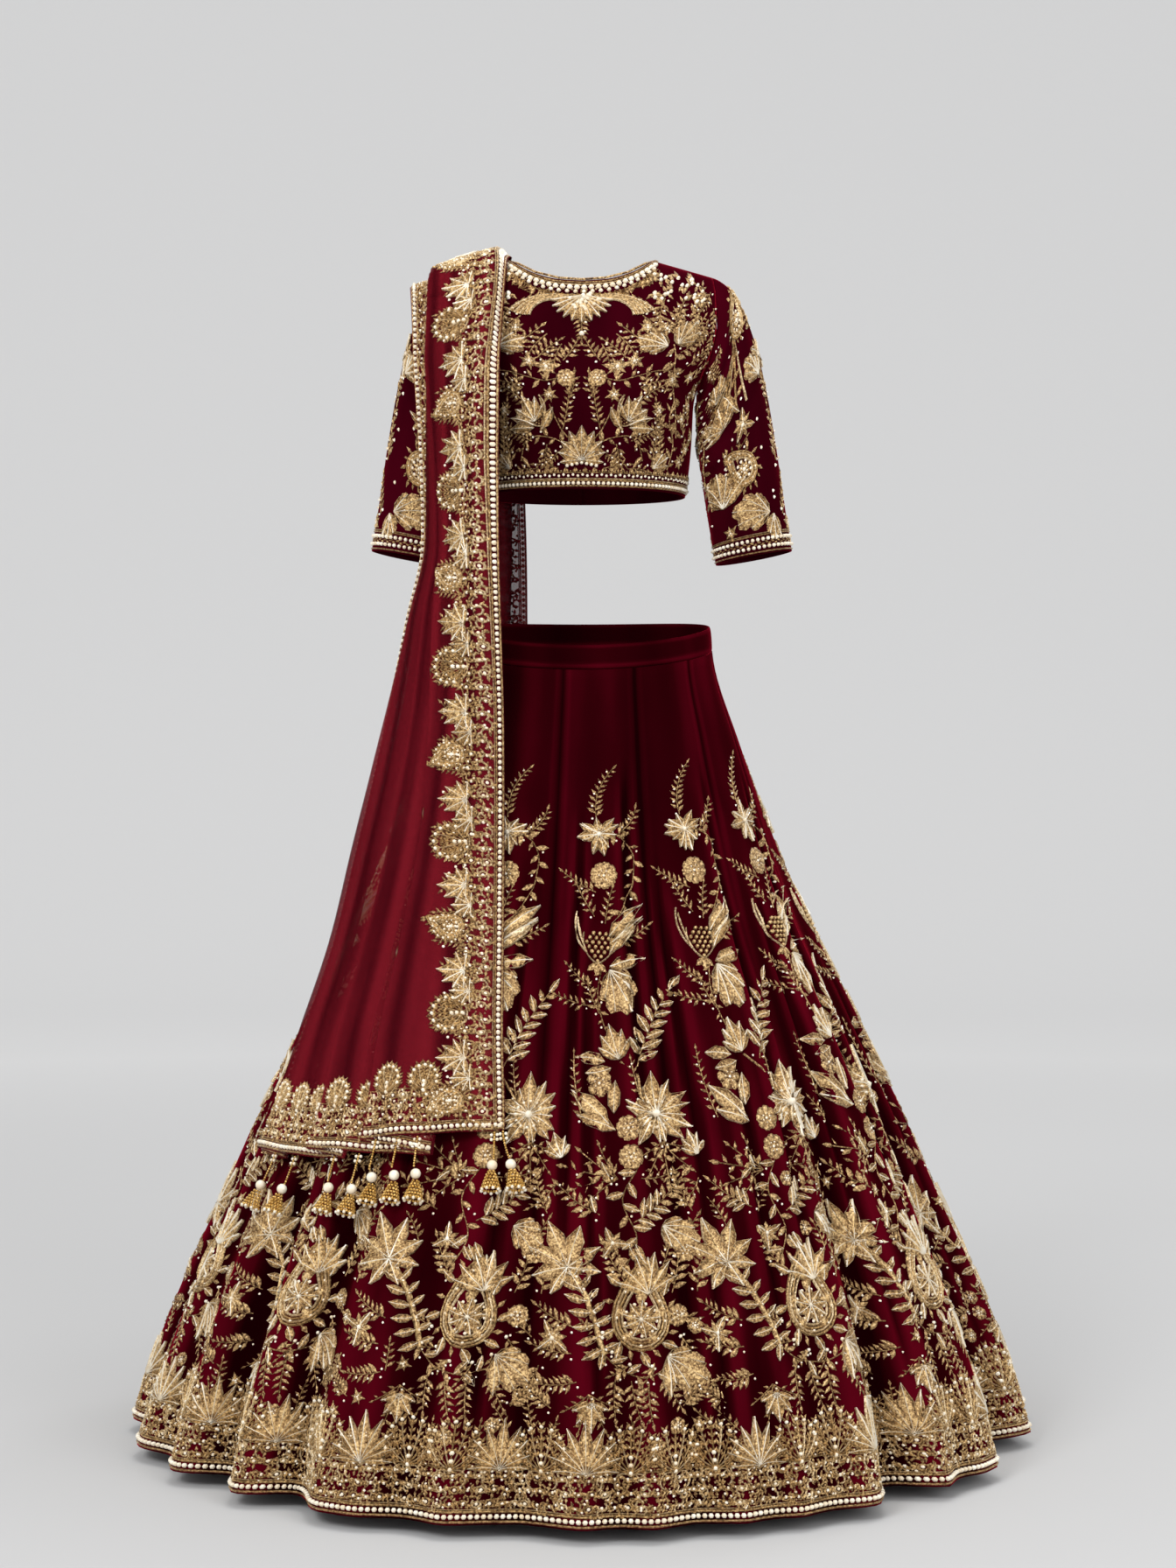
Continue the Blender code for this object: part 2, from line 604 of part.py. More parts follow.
def build_choli_body():
    half = list(CHOLI_COLUMNS)
    across = [-s for s in half[:0:-1]] + half
    outer, inner = choli_grids(across, -1)
    add_wall("choli_front", outer, inner, choli_velvet("choli_front"))
    for name, mirror in (("choli_back_left", 1), ("choli_back_right", -1)):
        outer, inner = choli_grids(half, 1)
        for grid in (outer, inner):
            grid[..., 0] = (grid[..., 0] + SEAM_GAP / 2) * mirror
        add_wall(name, outer, inner, choli_velvet(name))


def armhole_frame(around):
    # Point, outward normal and outward tangent of the body at the armhole.
    # Around goes from the shoulder tip (0) down the front to the armpit (0.5) and up the back (1).
    around = np.mod(np.asarray(around, float), 1.0)
    down = 1 - np.abs(1 - 2 * around)
    start = ARMHOLE[0].along
    along = 1 - (1 - start) * down
    point = np.zeros(around.shape + (3,))
    normal = np.zeros(around.shape + (3,))
    tangent = np.zeros(around.shape + (3,))
    for side, chosen in ((-1, around <= 0.5), (1, around > 0.5)):
        edge = choli_surface(1.0, along, side)
        inward = choli_surface(1.0 - EDGE_STEP, along, side)
        above = choli_surface(1.0, np.minimum(along + EDGE_STEP, 1), side)
        below = choli_surface(1.0, np.maximum(along - EDGE_STEP, start + 1e-6), side)
        run = unit(above - below)
        across = unit(edge - inward)
        across = unit(across - np.sum(across * run, axis=-1, keepdims=True) * run)
        facing = np.cross(across, run) * (-side)
        point = np.where(chosen[..., None], edge, point)
        normal = np.where(chosen[..., None], facing, normal)
        tangent = np.where(chosen[..., None], across, tangent)
    slope = np.array([sin(SHOULDER_SLOPE), 0, cos(SHOULDER_SLOPE)])
    outward = np.array([cos(SHOULDER_SLOPE), 0, -sin(SHOULDER_SLOPE)])
    at_tip = (1 - smooth_step(down / TIP_BLEND))[..., None]
    at_pit = smooth_step((down - 1 + ARMPIT_BLEND) / ARMPIT_BLEND)[..., None]
    normal = unit(normal * (1 - at_tip) + slope * at_tip)
    tangent = unit(tangent * (1 - at_tip) + outward * at_tip)
    normal = unit(normal * (1 - at_pit) + np.array([1.0, 0, 0]) * at_pit)
    tangent = unit(tangent * (1 - at_pit) + np.array([0, 0, 1.0]) * at_pit)
    return point, normal, tangent, down


def sleeve_surface(around, along):
    # The left sleeve, from the armhole (0) to the cuff (1), on one smooth rib for each place around.
    around, along = np.broadcast_arrays(np.asarray(around, float), np.asarray(along, float))
    point, normal, tangent, down = armhole_frame(around)
    fold = (pi * down)[..., None]
    aside = np.where(np.mod(around, 1.0) <= 0.5, -1.0, 1.0)
    angle = pi * down
    leave = tangent * np.cos(fold / 2) + normal * np.sin(fold / 2)
    start = point + SLEEVE_STARTS_OUT * unit(leave)
    direction = unit(tangent * np.cos(fold) + normal * np.sin(fold))
    pull = SLEEVE_TOP_PULL * (1 - smooth_step(down * 2)) + SLEEVE_SIDE_PULL * smooth_step(down * 2)
    pull = pull + (SLEEVE_UNDER_PULL - SLEEVE_SIDE_PULL) * smooth_step(down * 2 - 1)
    outward = np.array([cos(CUFF_TILT), 0, sin(CUFF_TILT)])
    axis = np.array([sin(CUFF_TILT), 0, -cos(CUFF_TILT)])
    cuff = np.array([CUFF_X, CUFF_Y, CUFF_Z])
    ring = np.cos(angle)[..., None] * outward + (aside * np.sin(angle))[..., None] * np.array([0, 1.0, 0])
    end = cuff + CUFF_RADIUS * ring
    t = along[..., None]
    first = (1 + 2 * t) * (1 - t) ** 2 * start + t * (1 - t) ** 2 * pull[..., None] * direction
    second = t * t * (3 - 2 * t) * end - t * t * (1 - t) * SLEEVE_CUFF_PULL * axis
    return first + second


def build_sleeves():
    start = ARMHOLE[0].along
    edge_rows = np.array([row.along for row in CHOLI_ROWS if row.along >= start])
    down = (1 - edge_rows[::-1]) / (1 - start)
    around = np.concatenate([down / 2, 1 - down[1:-1][::-1] / 2])[None, :]
    along = column(SLEEVE_ROWS, "along")[:, None]
    band = column(SLEEVE_ROWS, "pearl_band")[:, None, None]
    around = around + 0 * along
    along = along + 0 * around
    base = sleeve_surface(around, along)
    out = surface_normal(sleeve_surface, around, along)
    middle = base.mean(axis=1, keepdims=True)
    out = out * np.sign(np.sum(out[4] * (base[4] - middle[4])))
    outer = base + PEARL_BAND_RAISE * band * out
    inner = base - VELVET_WALL * out
    for name, mirror in (("sleeve_left", 1), ("sleeve_right", -1)):
        flip = np.array([mirror, 1, 1])
        add_wall(name, outer * flip, inner * flip, choli_velvet(name), ring=True)


def build_neck_piping():
    # A thin gold cord along the neckline, open at the centre back.
    steps = [s for s in CHOLI_COLUMNS if s <= NECKLINE[-1].across]
    front = choli_surface(np.array(steps), 1.0, -1)
    back = choli_surface(np.array(steps[::-1]), 1.0, 1)
    front[:, 1] -= SEAM_GAP / 2
    back[:, 1] += SEAM_GAP / 2
    path = np.concatenate([front, back[1:]])
    path[-1, 0] += 2 * SEAM_GAP
    run = np.gradient(path, axis=0)
    run[0, 1:] = 0
    run[-1, 1:] = 0
    run = unit(run)
    to_neck = np.array(PIPING_AIM) * path + np.array([0, 0, PIPING_AIM_UP])
    away = unit(to_neck - np.sum(to_neck * run, axis=1, keepdims=True) * run)
    away[0, 0] = 0
    beside = np.cross(run, away)
    centre = path + (PIPING_RADIUS + SEAM_GAP) * away
    rings = []
    for corner in range(PIPING_SIDES):
        angle = 2 * pi * (corner + 0.5) / PIPING_SIDES
        rings.append(centre + PIPING_RADIUS * (cos(angle) * away + sin(angle) * beside))
    half = np.stack(rings, axis=1)
    mirrored = half[:0:-1] * np.array([-1, 1, 1])
    loop = np.concatenate([mirrored, half])
    rows = len(loop)
    faces = []
    for row in range(rows - 1):
        for side in range(PIPING_SIDES):
            nxt = (side + 1) % PIPING_SIDES
            a, b = row * PIPING_SIDES, (row + 1) * PIPING_SIDES
            faces.append((a + side, a + nxt, b + nxt, b + side))
    faces.append(tuple(range(PIPING_SIDES))[::-1])
    faces.append(tuple((rows - 1) * PIPING_SIDES + side for side in range(PIPING_SIDES)))
    add_piece("neck_piping", loop.reshape(-1, 3), faces, gold_metal("neck_piping"))


# Dupatta

def drape_base(share, stop):
    # The surface that the innermost layer lies on.
    stops = column(DRAPE_STATIONS, "stop")
    read = lambda name: smooth_through(stops, column(DRAPE_STATIONS, name), stop)
    turn = np.radians(read("inner_turn") * (1 - share) + read("outer_turn") * share)
    reach = read("inner_reach") * (1 - share) + read("outer_reach") * share
    reach = reach + read("bow") * 4 * share * (1 - share)
    z = read("inner_z") * (1 - share) + read("outer_z") * share
    return np.stack([reach * np.sin(turn), -reach * np.cos(turn), z], axis=-1)


def drape_columns():
    # Across, layer and sideways push for each column of the pleated sheet.
    across, layer, push = [], [], []
    for number, fold in enumerate(DRAPE_FOLDS[:-1]):
        following = DRAPE_FOLDS[number + 1]
        top = LAYERS - 1 - number
        for cell in range(fold.cells + 1):
            across.append(fold.across + (following.across - fold.across) * cell / fold.cells)
            layer.append(top)
            push.append(0)
        if number < LAYERS - 1:
            outward = 1 if number % 2 == 0 else -1
            for cell in range(1, TURN_CELLS):
                angle = pi * cell / TURN_CELLS
                across.append(following.across)
                layer.append(top - (1 - cos(angle)) / 2)
                push.append(outward * sin(angle))
    return np.array(across), np.array(layer), np.array(push)


def drape_sheet(across, layer, push, stop):
    # Points of the pleated sheet's middle, where each layer stands on the one below it.
    stops = column(DRAPE_STATIONS, "stop")
    read = lambda name: smooth_through(stops, column(DRAPE_STATIONS, name), stop)
    places = column(DRAPE_FOLDS, "across")
    narrow = np.interp(across, places, column(DRAPE_FOLDS, "shoulder_share"))
    wide = np.interp(across, places, column(DRAPE_FOLDS, "hem_share"))
    spread = read("spread")
    share = narrow * (1 - spread) + wide * spread
    pitch = read("pitch")
    width = np.linalg.norm(drape_base(0 * share + 1, stop) - drape_base(0 * share, stop), axis=-1)
    share = share + push * pitch / 2 / width
    point = drape_base(share, stop)
    d_share = drape_base(share + SHARE_STEP, stop) - drape_base(share - SHARE_STEP, stop)
    d_stop = drape_base(share, stop + SHARE_STEP) - drape_base(share, stop - SHARE_STEP)
    out = unit(np.cross(d_share, d_stop))
    raised = pitch * smooth_step(share / read("settle"))
    return point + out * (layer * raised)[..., None]


def drape_stop_at(z, end):
    # The stop on the path where it passes a height, on the front or the back.
    way = 1 if end == "front" else -1
    half = [row for row in DRAPE_STATIONS if way * row.stop > HANG_STARTS]
    half = sorted(half, key=lambda row: row.inner_z)
    return smooth_through(column(half, "inner_z"), column(half, "stop"), z)


def build_dupatta_node(name, first, last, rows):
    across, layer, push = drape_columns()
    share = np.linspace(0, 1, rows + 1)[:, None]
    stop = first + (last - first) * share
    across = across[None, :] + 0 * stop
    layer = layer[None, :] + 0 * stop
    push = push[None, :] + 0 * stop
    middle = drape_sheet(across, layer, push, stop)
    d_across = np.gradient(middle, axis=1)
    d_along = np.gradient(middle, axis=0)
    out = unit(np.cross(d_across, d_along))
    add_wall(name, middle + out * NET_WALL / 2, middle - out * NET_WALL / 2, red_net(name))


def hem_stops(end):
    across = drape_columns()[0]
    hem_z = np.interp(across, column(DRAPE_FOLDS, "across"), column(DRAPE_FOLDS, end + "_hem_z"))
    return drape_stop_at(hem_z, end)[None, :]


def build_dupatta():
    build_dupatta_node("dupatta_front", SHOULDER_NODE_ENDS + NODE_SEAM, hem_stops("front"), FRONT_ROWS)
    low, high = -SHOULDER_NODE_ENDS + NODE_SEAM, SHOULDER_NODE_ENDS - NODE_SEAM
    build_dupatta_node("dupatta_shoulder", low, high, SHOULDER_ROWS)
    build_dupatta_node("dupatta_back", -SHOULDER_NODE_ENDS - NODE_SEAM, hem_stops("back"), BACK_ROWS)


# Tassels

def tassel_profile():
    # Radius and drop of the string, the pearl, the neck and the beaded cup.
    pearl = STRING_LENGTH + PEARL_RADIUS
    cup = pearl + PEARL_RADIUS
    return (
        (STRING_RADIUS, 0.0),
        (STRING_RADIUS, STRING_LENGTH),
        (PEARL_RADIUS, pearl),
        (STRING_RADIUS * 1.6, cup),
        (CUP_RADIUS * 0.75, cup + CUP_HEIGHT * 0.45),
        (CUP_RADIUS, cup + CUP_HEIGHT),
        (CUP_RADIUS * 0.7, cup + CUP_HEIGHT),
        (CUP_RADIUS * 0.25, cup + CUP_HEIGHT * 0.7),
    )


def tassel_axis(tassel, drop):
    # Middle of the tassel at a drop below the hem, with the directions across it.
    places = column(DRAPE_FOLDS, "across")
    hem_z = np.interp(tassel.across, places, column(DRAPE_FOLDS, tassel.end + "_hem_z"))
    face = int(np.searchsorted(places, tassel.across, side="right")) - 1
    down = 1 if tassel.end == "front" else -1
    hem_stop = drape_stop_at(hem_z, tassel.end)
    stops = column(DRAPE_STATIONS, "stop")
    at_hem = lambda name: smooth_through(stops, column(DRAPE_STATIONS, name), hem_stop)
    share = np.interp(tassel.across, places, column(DRAPE_FOLDS, "hem_share"))
    layer_height = (LAYERS - 1 - face) * at_hem("pitch") * smooth_step(share / at_hem("settle"))
    stop_run = drape_base(share, hem_stop + HEM_STEP) - drape_base(share, hem_stop - HEM_STEP)
    share_run = drape_base(share + HEM_STEP, hem_stop) - drape_base(share - HEM_STEP, hem_stop)
    out = unit(np.cross(share_run, stop_run))
    stop = hem_stop + down * (drop + SEAM_GAP) * 2 * HEM_STEP / np.linalg.norm(stop_run)
    lean = tassel.lean_x * smooth_step(drop / TASSEL_LENGTH) * np.sign(share_run[0])
    share = share + lean * 2 * HEM_STEP / np.linalg.norm(share_run)
    settled = smooth_step((drop - STRING_LENGTH + 0.002) / (2 * PEARL_RADIUS))
    height = layer_height + (CUP_REST_HEIGHT - layer_height) * settled
    return drape_base(share, stop) + out * height, unit(np.cross(stop_run, out)), out


def build_tassels():
    numbers = {"front": 0, "back": 0}
    for tassel in TASSELS:
        numbers[tassel.end] += 1
        name = f"tassel_{tassel.end}_{numbers[tassel.end]}"
        points = []
        for radius, drop in tassel_profile():
            middle, beside, out = tassel_axis(tassel, drop)
            for side in range(TASSEL_SIDES):
                angle = 2 * pi * side / TASSEL_SIDES
                points.append(middle + radius * (cos(angle) * beside + sin(angle) * out))
        faces = []
        rings = len(points) // TASSEL_SIDES
        for ring in range(rings - 1):
            for side in range(TASSEL_SIDES):
                nxt = (side + 1) % TASSEL_SIDES
                a, b = ring * TASSEL_SIDES, (ring + 1) * TASSEL_SIDES
                faces.append((a + side, b + side, b + nxt, a + nxt))
        faces.append(tuple(range(TASSEL_SIDES)))
        faces.append(tuple((rings - 1) * TASSEL_SIDES + side for side in range(TASSEL_SIDES))[::-1])
        add_piece(name, np.array(points), faces, gold_metal(name))


build_skirt_panels()
build_waistband()
build_choli_body()
build_sleeves()
build_neck_piping()
build_dupatta()
build_tassels()
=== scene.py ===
from collections import defaultdict, namedtuple
from math import cos, pi, radians, sin, tan

import bpy
import numpy as np
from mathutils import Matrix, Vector


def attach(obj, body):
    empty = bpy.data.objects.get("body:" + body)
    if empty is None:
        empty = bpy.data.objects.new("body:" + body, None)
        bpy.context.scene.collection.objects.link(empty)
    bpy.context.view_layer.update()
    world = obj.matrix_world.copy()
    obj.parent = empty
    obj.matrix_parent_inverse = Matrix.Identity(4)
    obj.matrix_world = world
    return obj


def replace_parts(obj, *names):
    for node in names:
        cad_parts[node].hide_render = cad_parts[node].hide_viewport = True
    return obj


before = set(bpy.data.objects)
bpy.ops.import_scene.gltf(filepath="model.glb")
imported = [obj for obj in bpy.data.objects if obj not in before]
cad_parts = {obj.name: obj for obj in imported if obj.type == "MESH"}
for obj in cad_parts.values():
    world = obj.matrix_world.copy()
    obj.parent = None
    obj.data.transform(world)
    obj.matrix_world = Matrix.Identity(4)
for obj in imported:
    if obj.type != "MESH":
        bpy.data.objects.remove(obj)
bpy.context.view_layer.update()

rng = np.random.default_rng(7)
print("frame loaded")


def rowsOf(columns, rows):
    # A table whose rows carry their columns by name.
    kind = namedtuple("Row", columns)
    return tuple(kind(*row) for row in rows)


# Cloth and seams
seamGap = 0.0003
bandWall = 0.003

# Skirt
panels = 12
skirtHemZ = -1.018
skirtHemRadius = 0.578
foldGrowth = 1.3

# Waistband
bandHeight = 0.031
bandSideZ = 0.008
bandFrontDip = 0.039
bandProud = 0.0006

# Choli
choliHemZ = 0.166
armpitZ = 0.3
frontNeckZ = 0.434
backNeckZ = 0.45
neckPointX = 0.098
neckPointZ = 0.474
shoulderTipX = 0.17
shoulderSlope = radians(16)
shoulderRound = 0.06
shoulderBack = 0.01
neckRise = 2.0
bustZ = 0.28
bustTurn = radians(35)
bustLift = 0.01
bustReachTurn = 0.38
bustReachZ = 0.048

# Sleeves
cuffX = 0.2225
cuffY = -0.015
cuffZ = 0.0863
cuffRadius = 0.05
cuffTilt = radians(10.5)
sleeveStartsOut = 0.0005
tipBlend = 0.12
armpitBlend = 0.14
sleeveTopPull = 0.2
sleeveSidePull = 0.1
sleeveUnderPull = 0.2
sleeveCuffPull = 0.32

# Dupatta
shoulderNodeEnds = 2.0
nodeSeam = 0.005
shareStep = 1e-3
hemStep = 0.01
hangStarts = 3

# Tassels
stringLength = 0.036
pearlRadius = 0.0062
cupRadius = 0.0125
cupHeight = 0.024
cupRestHeight = 0.009
tasselLength = stringLength + 2 * pearlRadius + cupHeight

skirtLevels = rowsOf("z halfWidth halfDepth", (
    (0.01, 0.166, 0.113), (-0.04, 0.17, 0.117), (-0.153, 0.2045, 0.15), (-0.267, 0.2455, 0.205),
    (-0.381, 0.294, 0.268), (-0.494, 0.352, 0.335), (-0.608, 0.408, 0.398), (-0.722, 0.459, 0.455),
    (-0.835, 0.511, 0.51), (-0.949, 0.556, 0.556), (-1.018, 0.578, 0.578),
))

# Where each seam between two panels leaves the waistband and meets the hem, in degrees from the front.
panelSeams = rowsOf("waistTurn hemTurn", (
    (-7.5, -7), (22.5, 13), (52.5, 38.5), (82.5, 62), (112.5, 98), (142.5, 134), (172.5, 168), (202.5, 202),
    (232.5, 234), (262.5, 268), (292.5, 300), (322.5, 326),
))

# Hollows between the skirt's flares: place and reach are counted in panels, depth is the one at the hem.
skirtFolds = rowsOf("place depth reach starts", (
    (0.0, 0.022, 0.42, 0.1), (0.55, 0.008, 0.22, 0.35), (1.0, 0.014, 0.28, 0.15), (1.35, 0.008, 0.2, 0.4),
    (1.65, 0.01, 0.22, 0.3), (2.14, 0.055, 0.28, 0.2), (2.55, 0.012, 0.2, 0.45), (3.16, 0.06, 0.3, 0.18),
    (3.62, 0.025, 0.22, 0.38), (4.12, 0.04, 0.28, 0.22), (4.65, 0.022, 0.24, 0.42), (5.2, 0.044, 0.3, 0.16),
    (5.74, 0.018, 0.22, 0.45), (6.28, 0.038, 0.28, 0.24), (6.8, 0.022, 0.24, 0.36),
    (7.36, 0.042, 0.3, 0.18), (7.9, 0.02, 0.22, 0.44), (8.42, 0.036, 0.28, 0.22), (8.96, 0.024, 0.24, 0.4),
    (9.42, 0.03, 0.24, 0.3), (9.9, 0.025, 0.22, 0.34), (10.38, 0.045, 0.26, 0.2),
    (10.88, 0.042, 0.26, 0.26), (11.5, 0.015, 0.24, 0.36),
))

chestLevels = rowsOf("z halfWidth frontDepth backDepth", (
    (0.166, 0.134, 0.106, 0.095), (0.2, 0.139, 0.11, 0.096), (0.24, 0.1425, 0.122, 0.098),
    (0.28, 0.1445, 0.128, 0.1), (0.3, 0.148, 0.127, 0.101), (0.32, 0.16, 0.122, 0.101),
    (0.342, 0.175, 0.115, 0.101), (0.37, 0.184, 0.108, 0.1), (0.4, 0.187, 0.1, 0.096),
    (0.44, 0.19, 0.084, 0.084), (0.475, 0.192, 0.062, 0.062),
))

# Edge of the armhole, from the armpit to the shoulder tip. Along is the share of the panel's side edge.
armhole = rowsOf("along z frontX backX", (
    (0.45, 0.3, 0.148, 0.148), (0.52, 0.307, 0.15, 0.1505), (0.6, 0.323, 0.156, 0.1575),
    (0.7, 0.351, 0.167, 0.17), (0.8, 0.385, 0.1735, 0.177), (0.9, 0.422, 0.173, 0.175),
    (0.96, 0.443, 0.171, 0.172), (1.0, 0.4534, 0.17, 0.17),
))

# Neckline from the centre to the neck point. Lift is the share of the rise from the centre's height.
neckline = rowsOf("across x lift", (
    (0.0, 0.0, 0.0), (0.125, 0.03, 0.06), (0.25, 0.06, 0.28), (0.375, 0.083, 0.62), (0.5, 0.098, 1.0),
))


# Path of the dupatta from its front hem (14) over the shoulder (0) to its back hem (-14).
# Turns are degrees from the front, reaches are from the body's axis, and spread goes from the
# narrow stack on the shoulder (0) to the open fan on the skirt (1).
drapeStations = rowsOf(
    "stop innerZ outerZ innerTurn innerReach outerTurn outerReach bow spread pitch settle", (
    (-14, -0.76, -0.76, -170.5, 0.48, -113.0, 0.481, 0.0, 1.0, 0.0035, 0.35),
    (-13, -0.62, -0.62, -169.5, 0.4078, -112.0, 0.4116, 0.0, 1.0, 0.0035, 0.35),
    (-12, -0.5, -0.5, -167.6, 0.349, -111.1, 0.3612, 0.002, 1.0, 0.0036, 0.35),
    (-11, -0.4, -0.4, -165.2, 0.292, -111.0, 0.3267, 0.004, 1.0, 0.0036, 0.34),
    (-10, -0.3, -0.3, -162.0, 0.239, -110.9, 0.2997, 0.004, 1.0, 0.0036, 0.33),
    (-9, -0.2, -0.2, -157.9, 0.196, -110.7, 0.2747, 0.002, 0.9, 0.0036, 0.3),
    (-8, -0.1, -0.1, -154.0, 0.169, -110.3, 0.2537, 0.0, 0.75, 0.0034, 0.26),
    (-7, 0.0, 0.0, -151.6, 0.155, -109.8, 0.236, 0.0, 0.6, 0.0032, 0.22),
    (-6, 0.1, 0.1, -149.8, 0.148, -108.8, 0.2239, 0.0, 0.45, 0.0032, 0.19),
    (-5, 0.2, 0.2, -146.9, 0.142, -108.0, 0.2198, 0.0, 0.3, 0.0032, 0.16),
    (-4, 0.29, 0.28, -143.3, 0.1385, -107.4, 0.2201, 0.0, 0.15, 0.003, 0.14),
    (-3, 0.36, 0.345, -141.0, 0.14, -106.8, 0.2214, 0.0, 0.08, 0.0026, 0.12),
    (-2, 0.42, 0.4, -136.5, 0.137, -105.0, 0.2237, 0.0, 0.04, 0.0026, 0.11),
    (-1, 0.467, 0.433, -119.5, 0.112, -100.3, 0.2246, 0.0, 0.01, 0.0026, 0.1),
    (0, 0.4788, 0.4398, -93.0, 0.091, -92.6, 0.2229, 0.0, 0.0, 0.0026, 0.1),
    (1, 0.466, 0.432, -66.7, 0.104, -84.3, 0.2226, 0.0, 0.01, 0.0026, 0.1),
    (2, 0.42, 0.4, -50.9, 0.126, -78.4, 0.2231, 0.0, 0.04, 0.0026, 0.11),
    (3, 0.36, 0.345, -41.0, 0.154, -75.0, 0.2237, 0.0, 0.08, 0.0026, 0.12),
    (4, 0.29, 0.28, -33.9, 0.183, -74.2, 0.2203, -0.008, 0.15, 0.003, 0.14),
    (5, 0.2, 0.2, -33.2, 0.1864, -72.3, 0.2173, -0.008, 0.3, 0.0032, 0.16),
    (6, 0.1, 0.1, -32.6, 0.1875, -70.8, 0.2155, -0.006, 0.45, 0.0032, 0.19),
    (7, 0.0, 0.0, -31.7, 0.1882, -70.6, 0.2353, 0.0, 0.6, 0.0032, 0.22),
    (8, -0.1, -0.1, -29.7, 0.1935, -70.4, 0.2559, 0.0, 0.75, 0.0034, 0.26),
    (9, -0.2, -0.2, -26.8, 0.2095, -70.2, 0.277, 0.002, 0.9, 0.0036, 0.3),
    (10, -0.3, -0.3, -22.7, 0.242, -69.8, 0.3015, 0.004, 1.0, 0.0036, 0.33),
    (11, -0.4, -0.4, -18.4, 0.292, -69.6, 0.3265, 0.004, 1.0, 0.0036, 0.34),
    (12, -0.5, -0.5, -15.3, 0.346, -69.3, 0.3619, 0.002, 1.0, 0.0036, 0.35),
    (13, -0.62, -0.62, -12.4, 0.4078, -66.0, 0.4121, 0.0, 1.0, 0.0035, 0.35),
    (14, -0.76, -0.76, -11.0, 0.48, -65.0, 0.481, 0.0, 1.0, 0.0035, 0.35),
))

# Pleats of the dupatta across its width: where each fold lies in the stack and in the fan.
drapeFolds = rowsOf("across shoulderShare hemShare frontHemZ backHemZ", (
    (0.0, 0.0, 0.0, -0.605, -0.598), (0.185, 0.735, 0.45, -0.632, -0.622),
    (0.285, 0.114, 0.216, -0.64, -0.63), (0.445, 0.765, 0.674, -0.647, -0.641),
    (0.53, 0.227, 0.515, -0.652, -0.646), (0.72, 0.788, 1.0, -0.658, -0.655),
    (0.8, 0.379, 0.813, -0.66, -0.659), (0.9, 1.0, 0.98, -0.662, -0.664),
))
layers = len(drapeFolds) - 1

# Tassels: across is the place along the dupatta's hem, leanX how far the cup swings sideways.
tassels = rowsOf("end across leanX", (
    ("front", 0.003, 0.018), ("front", 0.014, 0.001), ("front", 0.108, 0.003), ("front", 0.133, -0.001),
    ("front", 0.163, -0.001), ("front", 0.37, -0.001), ("front", 0.402, 0.002), ("front", 0.622, 0.0),
    ("front", 0.668, -0.003), ("back", 0.005, 0.003), ("back", 0.06, 0.0), ("back", 0.118, -0.002),
    ("back", 0.165, 0.002), ("back", 0.392, 0.0), ("back", 0.64, 0.002), ("back", 0.69, -0.002),
))


def column(rows, name):
    return np.array([getattr(row, name) for row in rows], float)


def smoothThrough(keys, values, at):
    # A smooth curve through the values that never swings past them.
    keys = np.asarray(keys, float)
    values = np.asarray(values, float)
    step = np.diff(keys)
    slope = np.diff(values) / step
    tangent = np.zeros(len(values))
    tangent[0] = slope[0]
    tangent[-1] = slope[-1]
    before, after = slope[:-1], slope[1:]
    same = before * after > 0
    tangent[1:-1][same] = 2 * before[same] * after[same] / (before[same] + after[same])
    at = np.asarray(at, float)
    i = np.clip(np.searchsorted(keys, at) - 1, 0, len(step) - 1)
    t = np.clip((at - keys[i]) / step[i], 0, 1)
    start = (1 + 2 * t) * (1 - t) ** 2 * values[i] + t * (1 - t) ** 2 * step[i] * tangent[i]
    end = t * t * (3 - 2 * t) * values[i + 1] - t * t * (1 - t) * step[i] * tangent[i + 1]
    return start + end


def table(rows, key, name, at):
    return smoothThrough(column(rows, key), column(rows, name), at)


def smoothStep(t):
    t = np.clip(t, 0, 1)
    return t * t * (3 - 2 * t)


def unit(vectors):
    return vectors / np.maximum(np.linalg.norm(vectors, axis=-1, keepdims=True), 1e-12)


def bandTopZ(turn):
    return bandSideZ - bandFrontDip * ((1 + np.cos(turn)) / 2) ** 2


def foldHollow(place, fall):
    depth = np.zeros(np.broadcast(place, fall).shape)
    for fold in skirtFolds:
        away = (place - fold.place + panels / 2) % panels - panels / 2
        lobe = np.where(np.abs(away) < fold.reach, np.cos(pi * away / (2 * fold.reach)) ** 2, 0)
        grown = np.clip((fall - fold.starts) / (1 - fold.starts), 0, 1) ** foldGrowth
        depth = np.maximum(depth, fold.depth * lobe * grown)
    return depth


def skirtTurn(place, which):
    turns = column(panelSeams, which)
    turns = np.append(turns, turns[0] + 360)
    wrapped = np.mod(place, panels)
    return np.interp(wrapped, np.arange(panels + 1), turns)


def skirtSurface(place, fall):
    # Place counts panels round the skirt, fall goes from the waistband (0) to the hem (1).
    place, fall = np.broadcast_arrays(np.asarray(place, float), np.asarray(fall, float))
    waist = np.radians(skirtTurn(place, "waistTurn"))
    hem = np.radians(skirtTurn(place, "hemTurn"))
    topZ = bandTopZ(waist) - bandHeight - seamGap
    z = topZ + (skirtHemZ - topZ) * fall
    halfWidth = table(skirtLevels[::-1], "z", "halfWidth", z)
    halfDepth = table(skirtLevels[::-1], "z", "halfDepth", z)
    turn = waist + (hem - waist) * fall * skirtHemRadius / halfWidth
    hollow = foldHollow(place, fall) + creaseHollow(place, fall)
    x = (halfWidth - hollow) * np.sin(turn)
    y = -(halfDepth - hollow) * np.cos(turn)
    return np.stack([x, y, z], axis=-1)


